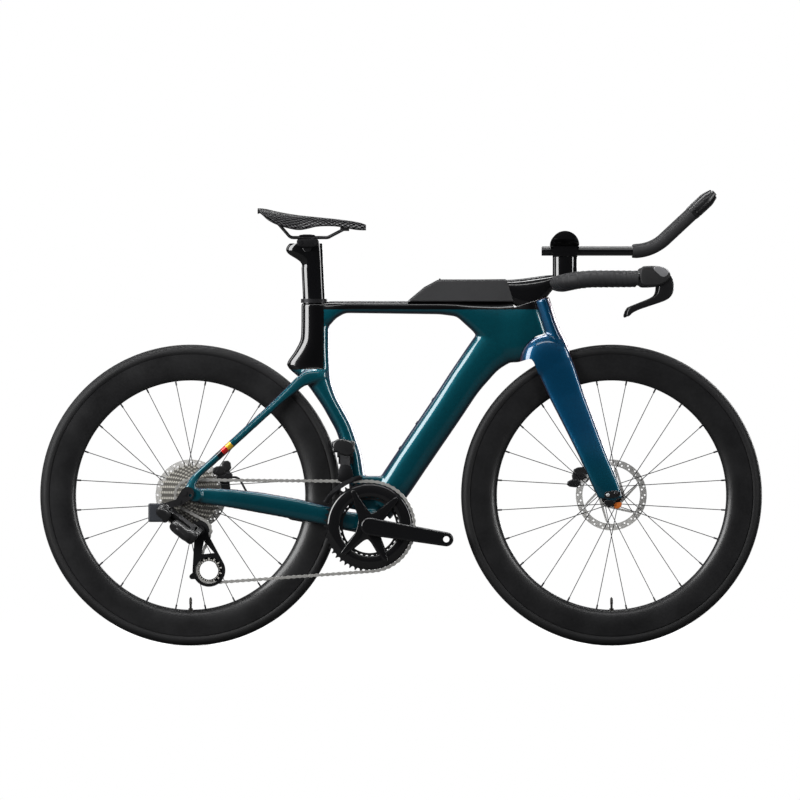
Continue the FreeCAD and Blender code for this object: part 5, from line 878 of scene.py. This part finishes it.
# Arm pads: blocks of foam faced with knit cloth, crowned, and drawn in at their ends. They are stuck into the
# arm cups, so each bends round its cup's axis.
CUP_AXIS_HEIGHT, PAD_FLOOR, PAD_DEPTH, PAD_REACH = 179, 0.0488, 0.0090, math.radians(37)
PAD_MIDDLE, PAD_END_HALF, PAD_SWELL = 78, 20, 6
CUP_SIDE = EXT_SIDE + 0.008
pad_cloth = finish("pad_cloth", (0.0055, 0.0055, 0.006), 0.85, scale=2200, spread=0.7, bump=0.0004)
share = np.sin(np.linspace(-math.pi / 2, math.pi / 2, 61))[1:-1, None]
turn = full_turn(64)
swell = (1 - np.abs(share) ** 5) ** 0.4
pad_x = PAD_MIDDLE + (PAD_END_HALF + PAD_SWELL * swell) * signed_power(np.cos(turn), 0.55)
pad_r = PAD_FLOOR - PAD_DEPTH * swell * (1 + signed_power(np.sin(turn), 0.6)) / 2
pad_a = share * PAD_REACH
pad_grid = np.stack([pad_x * MM, pad_r * np.sin(pad_a), -pad_r * np.cos(pad_a)], -1)
pad_grid += at_head(0, CUP_AXIS_HEIGHT)
pads = [closed_tube(pad_grid + (0, side * CUP_SIDE, 0)) for side in (-1, 1)]
arm_pads = add_piece("arm_pad_foam", pads, 60, material=pad_cloth)
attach(arm_pads, "steering")
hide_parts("arm_pads")

# Storage box: a hollow moulded nylon box that sits on the top tube behind the stem, matt and dark grey, with
# a lid hinged at its back and a rubber gasket inside.
box_grey = finish("box_grey", (0.0155, 0.0155, 0.0165), 0.6, scale=900, spread=0.35, bump=0.00025)
dress(box_grey, "storage_box", "box_lid")
gasket_ends = outlines(at_head, (-270, 1.5, -270, 5, 19, 0), (-35, 1.5, -35, 5, 21, 0))
gasket = add_piece("box_gasket", [tube(gasket_ends, 6, 30)], material=satin_black)
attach(gasket, "frame")

# Seat: a bladed carbon post in gloss black that slides in the seat tube, and the black alloy collar that
# holds it there.
post_black = finish("post_black", (0.0024, 0.0024, 0.0027), 0.24, coat=1.0, scale=220, spread=0.5,
                    bump=0.00002, shine=0.02)
alloy_black = finish("alloy_black", (0.011, 0.011, 0.012), 0.38, metallic=0.7, scale=600)
dress(post_black, "seatpost")
dress(alloy_black, "seat_collar")

# Saddle clamp: forged alloy cradles under both rails with a cap plate over each, drawn together by two cross
# bolts. It tilts on a drum in the post's head.
CRADLE = ((-38, 124), (-33, 116), (4, 116), (12, 121), (12, 131), (6, 136.5), (-32, 136.5), (-38, 132))
RAIL_CAP = ((-35, 139.5), (6, 139.5), (1, 145), (-30, 145))
RAIL_SIDE = 22
CROSS_PARTS = ((-14, 117, 0.0108, 0.016), (-29, 126, 0.0046, 0.031), (4, 126, 0.0046, 0.031))
clamp_parts = [cross_drum(at_seat(x, z), radius, half) for x, z, radius, half in CROSS_PARTS]
for side in (-1, 1):
    clamp_parts += [slab(rounded(CRADLE, 1), seat, side * RAIL_SIDE, half=7, edge=2.5),
                    slab(rounded(RAIL_CAP, 1), seat, side * RAIL_SIDE, half=6, edge=1.5)]
saddle_clamp = add_piece("saddle_clamp_forging", clamp_parts, material=alloy_black)
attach(saddle_clamp, "saddle clamp")
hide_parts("saddle_clamp")

# Saddle: a foam cover whose cloth has a raised diamond pattern, its grooves painted near black as shade,
# glued over a moulded shell that stands on two hollow steel rails.
rail_steel = finish("rail_steel", (0.05, 0.05, 0.052), 0.33, metallic=0.9, scale=700)
shell_black = finish("shell_black", (0.006, 0.006, 0.0065), 0.45, scale=600, spread=0.3)
dress(rail_steel, "saddle_rails")
dress(shell_black, "saddle_shell")
SADDLE = np.array(((-126, 204, 197, 34), (-112, 204, 186, 60), (-88, 198, 170, 69), (-58, 192, 160, 64),
                   (-30, 188, 156, 47), (10, 184, 164, 31), (50, 180, 164, 25), (88, 175, 157, 22),
                   (108, 171, 155, 19), (118, 167, 155, 12)), float)
PAD_THICK, PAD_LIP = 9, 3


def crowned(low, high, share, power):
    """Heights from low at either edge to high in the middle: low + (high - low) (1 - |share|^power)."""
    return low + (high - low) * (1 - np.abs(share) ** power)


saddle_x = np.interp(np.linspace(0, 1, 140), np.linspace(0, 1, len(SADDLE)), SADDLE[:, 0])
saddle_rows = np.stack([np.interp(saddle_x, SADDLE[:, 0], column) for column in SADDLE.T], -1)
saddle_rows[:, 1:] = evened(saddle_rows[:, 1:], 4)
_, saddle_top, saddle_edge, saddle_half = saddle_rows.T[:, :, None]
over = np.cos(np.linspace(0, math.pi, 61))[None, :]
upper = crowned(saddle_edge + PAD_LIP, saddle_top, over, 2.3)
under = crowned(saddle_edge, saddle_top - PAD_THICK + 1, over, 2.0)
ring_y = np.concatenate([saddle_half * over, (saddle_half * over)[:, ::-1]], 1)
ring_z = np.concatenate([upper, under[:, ::-1]], 1)
saddle_grid = np.stack([np.broadcast_to(saddle_x[:, None], ring_y.shape), ring_y, ring_z], -1) * MM + seat
saddle_cover = add_piece("saddle_cover_pad", [closed_tube(saddle_grid)], 50)
DIAMOND, GROOVE_FLOOR, GROOVE_LIP, RELIEF = 0.0125, 0.0011, 0.0024, 0.0009
GROOVE_SHADE, CLOTH_BLACK = (0.0010, 0.0010, 0.0012, 1), (0.014, 0.014, 0.015, 1)
saddle_cloth, graph, shader = new_material("saddle_cloth")
where, (x, y, z) = graph.place()
down = graph.math("SUBTRACT", graph.math("ABSOLUTE", y), z)
slant_one = graph.math("PINGPONG", graph.math("ADD", x, down), DIAMOND / 2)
slant_two = graph.math("PINGPONG", graph.math("SUBTRACT", x, down), DIAMOND / 2)
raised = graph.step(graph.math("MINIMUM", slant_one, slant_two), GROOVE_FLOOR, GROOVE_LIP)
fibre = graph.node("ShaderNodeTexNoise", Vector=where, Scale=1800.0, Detail=3.0).outputs["Fac"]
# Painted shade: the grooves between the raised diamonds are painted near black.
tone = graph.mix(raised, GROOVE_SHADE, CLOTH_BLACK)
worn = graph.math("ADD", graph.math("MULTIPLY", fibre, 0.6), 0.7)
shade = graph.node("ShaderNodeHueSaturation", Color=tone, Value=worn)
quilted = graph.math("ADD", raised, graph.math("MULTIPLY", fibre, 0.15))
relief = graph.node("ShaderNodeBump", Strength=1.0, Distance=RELIEF, Height=quilted)
graph.feed(shader.inputs["Base Color"], shade.outputs["Color"])
graph.feed(shader.inputs["Roughness"], graph.math("SUBTRACT", 0.75, graph.math("MULTIPLY", raised, 0.4)))
graph.feed(shader.inputs["Specular IOR Level"], graph.math("MULTIPLY", raised, 0.32))
graph.feed(shader.inputs["Normal"], relief.outputs["Normal"])
saddle_cover.data.materials.append(saddle_cloth)
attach(saddle_cover, "saddle")
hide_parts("saddle_cover")

# Cranks and rings: forged alloy arms in black lacquer on one spindle, and two black alloy rings with machined
# teeth, bolted to the right arm.
crank_black = finish("crank_black", (0.0038, 0.0038, 0.0042), 0.32, coat=1.0, scale=350, spread=0.35,
                     shine=0.02)
ring_black = finish("ring_black", (0.012, 0.012, 0.013), 0.36, metallic=0.5, coat=0.5, scale=500)
dress(crank_black, "crank_right", "crank_left")
dress(ring_black, "chainring_large", "chainring_small")

# Spider and ring dish: the large ring is forged hollow, with a shallow dish outside its bolts and four
# pointed arms that run out from the crank's boss. Both are fixed to the crankset.
ARM_TURNS = np.array((45.5, 115.5, 225.5, 295.5))
ARM_EDGE = np.array(((30, -30), (46, -13), (68, -6.5), (90, -3.2), (90, 3.2), (68, 6.5), (46, 13), (30, 30)))
DISH = ((66, -50.3), (67.5, -52.2), (74, -53.8), (84, -53.6), (92, -52.2), (95, -50.8), (95, -50.2),
        (80, -50.2))
STAR_SIDE, STAR_HALF, STAR_ROUND = -54.2, 3.6, 1.6
reach, aside = ARM_EDGE.T
turn = np.radians(ARM_TURNS[:, None] + aside)
star = np.stack([reach * np.cos(turn), reach * np.sin(turn)], -1).reshape(-1, 2)
dish_radii, dish_places = rounded(DISH, 2).T * MM
dish = ring_surface(turned(bottom, dish_radii, dish_places, 192))
arms = slab(rounded(star, 2), bottom, STAR_SIDE, STAR_HALF, STAR_ROUND)
spider = add_piece("crank_spider", [dish, arms], 30, material=crank_black)
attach(spider, "crankset")

# Chain: half inch links of plated steel, waisted side plates on pins, round the large ring, the 17 tooth
# sprocket and both pulleys. The path is the common tangents of the four pitch circles, cut into even links.
# The links past the guide pulley are kept as a piece of their own.
PITCH, LINKS, CHAIN_SIDE, ARC_ROWS = 0.0127, 110, -0.047, 90
INNER_SIDE, OUTER_SIDE, PLATE_HALF, PLATE_ROUND = 1.35, 2.35, 0.42, 0.2
PIN_RADIUS, PIN_HALF = 0.0017, 0.0029
chain_steel = finish("chain_steel", (0.36, 0.355, 0.34), 0.3, metallic=0.6, scale=900, spread=0.35)
guide, tension = joint_at["guide_pulley_spin"], joint_at["tension_pulley_spin"]


def pitch_radius(teeth):
    """The radius at which a wheel of so many teeth carries the chain's pins."""
    return PITCH / (2 * math.sin(math.pi / teeth))


def tangent(first, second):
    """Ends of the line that leaves one wheel (centre, radius, sense) and meets the next."""
    (start, r, sense), (end, q, other) = first, second
    run = end - start
    length = np.linalg.norm(run)
    run = run / length
    lean = (sense * r - other * q) / length
    normal = lean * run + math.sqrt(1 - lean ** 2) * np.array([-run[1], run[0]])
    return start + normal * sense * r, end + normal * other * q


wheels = [(np.array([centre[0], centre[2]]), pitch_radius(teeth), sense)
          for centre, teeth, sense in ((bottom, 50, -1), (rear, 17, -1), (guide, 12, 1), (tension, 14, -1))]
runs = [tangent(wheel, wheels[(i + 1) % 4]) for i, wheel in enumerate(wheels)]
chain_way = []
for i, (centre, radius, sense) in enumerate(wheels):
    into, out = runs[i - 1][1] - centre, runs[i][0] - centre
    start = math.atan2(into[1], into[0])
    sweep = -sense * ((-sense * (math.atan2(out[1], out[0]) - start)) % (2 * math.pi))
    angle = start + np.linspace(0, sweep, ARC_ROWS)
    chain_way.append(centre + radius * np.stack([np.cos(angle), np.sin(angle)], -1))
chain_way = np.concatenate(chain_way + [chain_way[0][:1]])
run_length = distance_along(chain_way)
pin_places = np.linspace(0, run_length[-1], LINKS, endpoint=False)
pins = np.stack([np.interp(pin_places, run_length, column) for column in chain_way.T], -1)
PLATE_TOP = np.array(((-9.9, 0), (-9.3, 2.9), (-6.4, 4.1), (-3.2, 3.3), (0, 2.5), (3.2, 3.3), (6.4, 4.1),
                      (9.3, 2.9)))
plate_edge = rounded(np.concatenate([PLATE_TOP, -PLATE_TOP]), 1)
upper_parts, tail_parts = [], []
half_round_guide = run_length[2 * ARC_ROWS + ARC_ROWS // 2]
for i, (pin, following) in enumerate(zip(pins, np.roll(pins, -1, axis=0))):
    ahead = (following - pin) / np.linalg.norm(following - pin)
    turned_plate = plate_edge[:, :1] * ahead + plate_edge[:, 1:] * np.array([-ahead[1], ahead[0]])
    middle = (pin + following) / 2
    anchor = np.array([middle[0], CHAIN_SIDE, middle[1]])
    chain_parts = tail_parts if pin_places[i] > half_round_guide else upper_parts
    for side in (-1, 1):
        place = side * (OUTER_SIDE if i % 2 else INNER_SIDE)
        chain_parts.append(slab(turned_plate, anchor, place, PLATE_HALF, PLATE_ROUND, 3))
    chain_parts.append(cross_drum(np.array([pin[0], CHAIN_SIDE, pin[1]]), PIN_RADIUS, PIN_HALF, 10))
chain_links = add_piece("chain_links", upper_parts)
chain_tail = add_piece("chain_tail", tail_parts)
for piece in (chain_links, chain_tail):
    piece.data.materials.append(chain_steel)
    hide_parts("chain")
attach(chain_links, "frame")
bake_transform(chain_tail)

# Cassette: twelve stamped and nickelled sprockets, seen as bright teeth over dark gaps. The colour is
# painted darker towards each sprocket's foot and between its teeth, as painted shade where the gaps lie;
# ring n from the axle is drawn with 2 n + 1 teeth.
SPROCKET_STEP = 0.00404
GAP_SHADE, LEAST_STEEL = (0.03, 0.028, 0.026, 1), 0.2


def about_axle(graph, axle):
    """Distance from an axle and angle round it: reach = sqrt(x^2 + z^2) and angle = arctan(z / x)."""
    ways = graph.place()[1]
    forward = graph.math("SUBTRACT", ways["X"], float(axle[0]))
    upward = graph.math("SUBTRACT", ways["Z"], float(axle[2]))
    squares = [graph.math("MULTIPLY", way, way) for way in (forward, upward)]
    return graph.math("SQRT", graph.math("ADD", *squares)), graph.math("ARCTAN2", upward, forward)


cassette_steel = finish("cassette_steel", (0.62, 0.60, 0.54), 0.3, metallic=0.55, scale=700, spread=0.3)
graph, shader, steel = opened(cassette_steel)
reach, angle = about_axle(graph, rear)
rings_out = graph.math("DIVIDE", reach, SPROCKET_STEP)
teeth = graph.math("ADD", graph.math("MULTIPLY", graph.math("FLOOR", rings_out), 2.0), 1.0)
# Painted shade: the colour falls to the gap colour between teeth and towards each sprocket's foot.
between = graph.step(graph.math("COSINE", graph.math("MULTIPLY", angle, teeth)), -0.1, 0.7)
foot = graph.step(graph.math("FRACT", rings_out), 0.02, 0.55)
unshaded = graph.math("MULTIPLY", graph.math("MULTIPLY", between, foot), 1 - LEAST_STEEL)
tone = graph.mix(graph.math("ADD", unshaded, LEAST_STEEL), GAP_SHADE, steel)
graph.feed(shader.inputs["Base Color"], tone)
dress(cassette_steel, "cassette")

# Derailleurs: the rear one has a moulded motor body and battery, two links, a plated cage and two pulleys;
# the front one swings its cage over the rings.
motor_black = finish("motor_black", (0.0055, 0.0055, 0.006), 0.36, coat=0.5, scale=450, spread=0.3)
battery_grey = finish("battery_grey", (0.016, 0.018, 0.022), 0.42, scale=600, spread=0.25)
link_grey = finish("link_grey", (0.02, 0.02, 0.021), 0.35, metallic=0.6, scale=600)
cage_grey = finish("cage_grey", (0.014, 0.014, 0.015), 0.34, metallic=0.8, scale=600)
dress(motor_black, "rd_fixed_knuckle", "rd_moving_knuckle", "fd_body", "guide_pulley")
dress(battery_grey, "rd_battery")
dress(link_grey, "rd_link_outer", "rd_link_inner", "fd_link")
dress(cage_grey, "rd_cage")


def lump(centre, axes, halves, power=0.55):
    """A rounded block: centre + each axis times its half size times |share|^power of a sphere's share."""
    t, turn = np.linspace(0, math.pi, 40)[1:-1, None], full_turn(64)
    shares = np.stack([np.sin(t) * np.cos(turn), np.sin(t) * np.sin(turn), np.cos(t) + 0 * turn], -1)
    shares = signed_power(shares, power)
    return closed_tube(centre + (shares * np.array(halves) * MM) @ np.array(axes))


LINK_SLOPE, LINK_SLANT, LINK_LENGTH = math.radians(-38.7), math.radians(48), 0.062
KNUCKLE_FROM_AXLE = (0.002, -0.072, -0.080)
link_out = np.array([math.cos(LINK_SLOPE), 0, math.sin(LINK_SLOPE)])
link_rise = np.cross(link_out, (0, 1, 0))
hinge = link_rise * math.cos(LINK_SLANT) + np.array([0, math.sin(LINK_SLANT), 0])
link_axes = (link_out, np.cross(hinge, link_out), hinge)
moving = rear + KNUCKLE_FROM_AXLE
fixed = moving - link_out * LINK_LENGTH
SHELLS = (("rd_motor_shell", "derailleur knuckle", moving,
           ((-17, -19, (29, 15, 11)), (6, -15, (15, 17, 11)), (-12, -27, (20, 9, 6)))),
          ("rd_pivot_shell", "frame", fixed, ((-9, -16.5, (17, 17, 5.5)), (-21, -6, (9, 15, 13)))))
for name, body, pivot, lumps in SHELLS:
    shapes = [lump(pivot + link_out * out * MM + hinge * along * MM, link_axes, halves)
              for out, along, halves in lumps]
    shell = moulded(name, shapes, voxel=0.0016, relax=6)
    shell.data.materials.append(motor_black)
    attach(shell, body)

# Tension pulley: an open ring of hard nylon whose bright steel bushings show as a row of beads inside the
# cage's dark ring. It turns in the cage's lower end.
BEADS, BEAD_FOOT, BEAD_TOP = 28.0, 0.0222, 0.0292
BEAD_STEEL = (0.4, 0.39, 0.36, 1)
pulley_ring = finish("pulley_ring", (0.012, 0.012, 0.013), 0.35, scale=600)
graph, shader, dark = opened(pulley_ring)
reach, angle = about_axle(graph, tension)
bead = graph.step(graph.math("COSINE", graph.math("MULTIPLY", angle, BEADS)), -0.5, 0.2)
inside = graph.math("MULTIPLY", graph.math("GREATER_THAN", reach, BEAD_FOOT),
                    graph.math("LESS_THAN", reach, BEAD_TOP))
tone = graph.mix(graph.math("MULTIPLY", bead, inside), dark, BEAD_STEEL)
graph.feed(shader.inputs["Base Color"], tone)
dress(pulley_ring, "tension_pulley")

# Front derailleur cover: a faceted motor cover over its body, and a slim cage of two curved plates that
# hug the large ring. The cage hangs from the swinging link.
FD_COVER = ((-86, 176), (-80, 194), (-62, 198), (-36, 190), (-33, 172), (-40, 160), (-52, 158), (-66, 163))
COVER_SIDE, COVER_HALF, COVER_ROUND = -31.5, 15.5, 4
cover = slab(rounded(FD_COVER, 2), bottom, COVER_SIDE, COVER_HALF, COVER_ROUND)
fd_cover = add_piece("fd_cover", [cover], material=motor_black)
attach(fd_cover, "frame")
CAGE_FOOT, CAGE_TOP, CAGE_WALL, CAGE_ROUND = 106.2, 117, 0.75, 0.3
CAGE_SIDE, BRIDGE_HALF = 5.75, 0.0055
TONGUE = ((-72, 96), (-36, 110), (-38, 124), (-44, 139), (-66, 139), (-70, 124))
sweep = np.radians(np.linspace(99, 152, 40))
ring_arc = np.stack([np.cos(sweep), np.sin(sweep)], -1)
band = np.concatenate([CAGE_TOP * ring_arc, CAGE_FOOT * ring_arc[::-1]])
cage_parts = [slab(shape, bottom, CHAIN_SIDE / MM + side * CAGE_SIDE, CAGE_WALL, CAGE_ROUND, 5)
              for shape in (band, rounded(TONGUE, 1)) for side in (-1, 1)]
cage_parts.append(block(at_bottom(-66, 116) + (0, CHAIN_SIDE - BRIDGE_HALF, 0),
                        at_bottom(-40, 123) + (0, CHAIN_SIDE + BRIDGE_HALF, 0)))
fd_cage = add_piece("fd_slim_cage", cage_parts, material=cage_grey)
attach(fd_cage, "front derailleur cage")
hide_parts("fd_cage")

# Brakes: two-piece forged calipers bolted to the left of the fork and of the frame, each slotted for its
# disc, and a rubber covered hose that runs from the rear one into the stay.
DISC_ROOM_RADIUS, DISC_ROOM_HALF = 0.0822, 0.0047
LOBE_HALVES, LOBE_LEANS = (14, 13, 12, 9), (-3, 3, -3, 3)
caliper_black = finish("caliper_black", (0.006, 0.006, 0.0065), 0.42, coat=0.2, scale=500)
hose_black = finish("hose_black", (0.006, 0.006, 0.0065), 0.5, scale=900)
CALIPERS = {
    "front": (front, 0.0485,
              ((-98, 19, -72, 36), (-90, 32, -56, 52), (-84, 46, -52, 64), (-78, 26, -48, 58))),
    "rear": (rear, 0.0555, ((50, 46, 76, 66), (68, 52, 92, 78), (60, 28, 92, 54), (66, 6, 90, 32)))}
for side, (axle, plane, lobes) in CALIPERS.items():
    shapes = []
    for half, lean, (back, foot, face, top) in zip(LOBE_HALVES, LOBE_LEANS, lobes):
        outline = rounded(((back + lean, foot), (face, foot + lean), (face - lean, top), (back, top - 2)), 1)
        shapes.append(slab(outline, axle, plane / MM, half, 2.5))
    body = moulded(side + "_caliper_body", shapes, voxel=0.0011, relax=3)
    carve(body, [cross_drum(axle + (0, plane, 0), DISC_ROOM_RADIUS, DISC_ROOM_HALF, 128)])
    body.data.materials.append(caliper_black)
    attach(body, "frame" if side == "rear" else "steering")
    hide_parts(side + "_caliper")
dress(hose_black, "rear_hose")
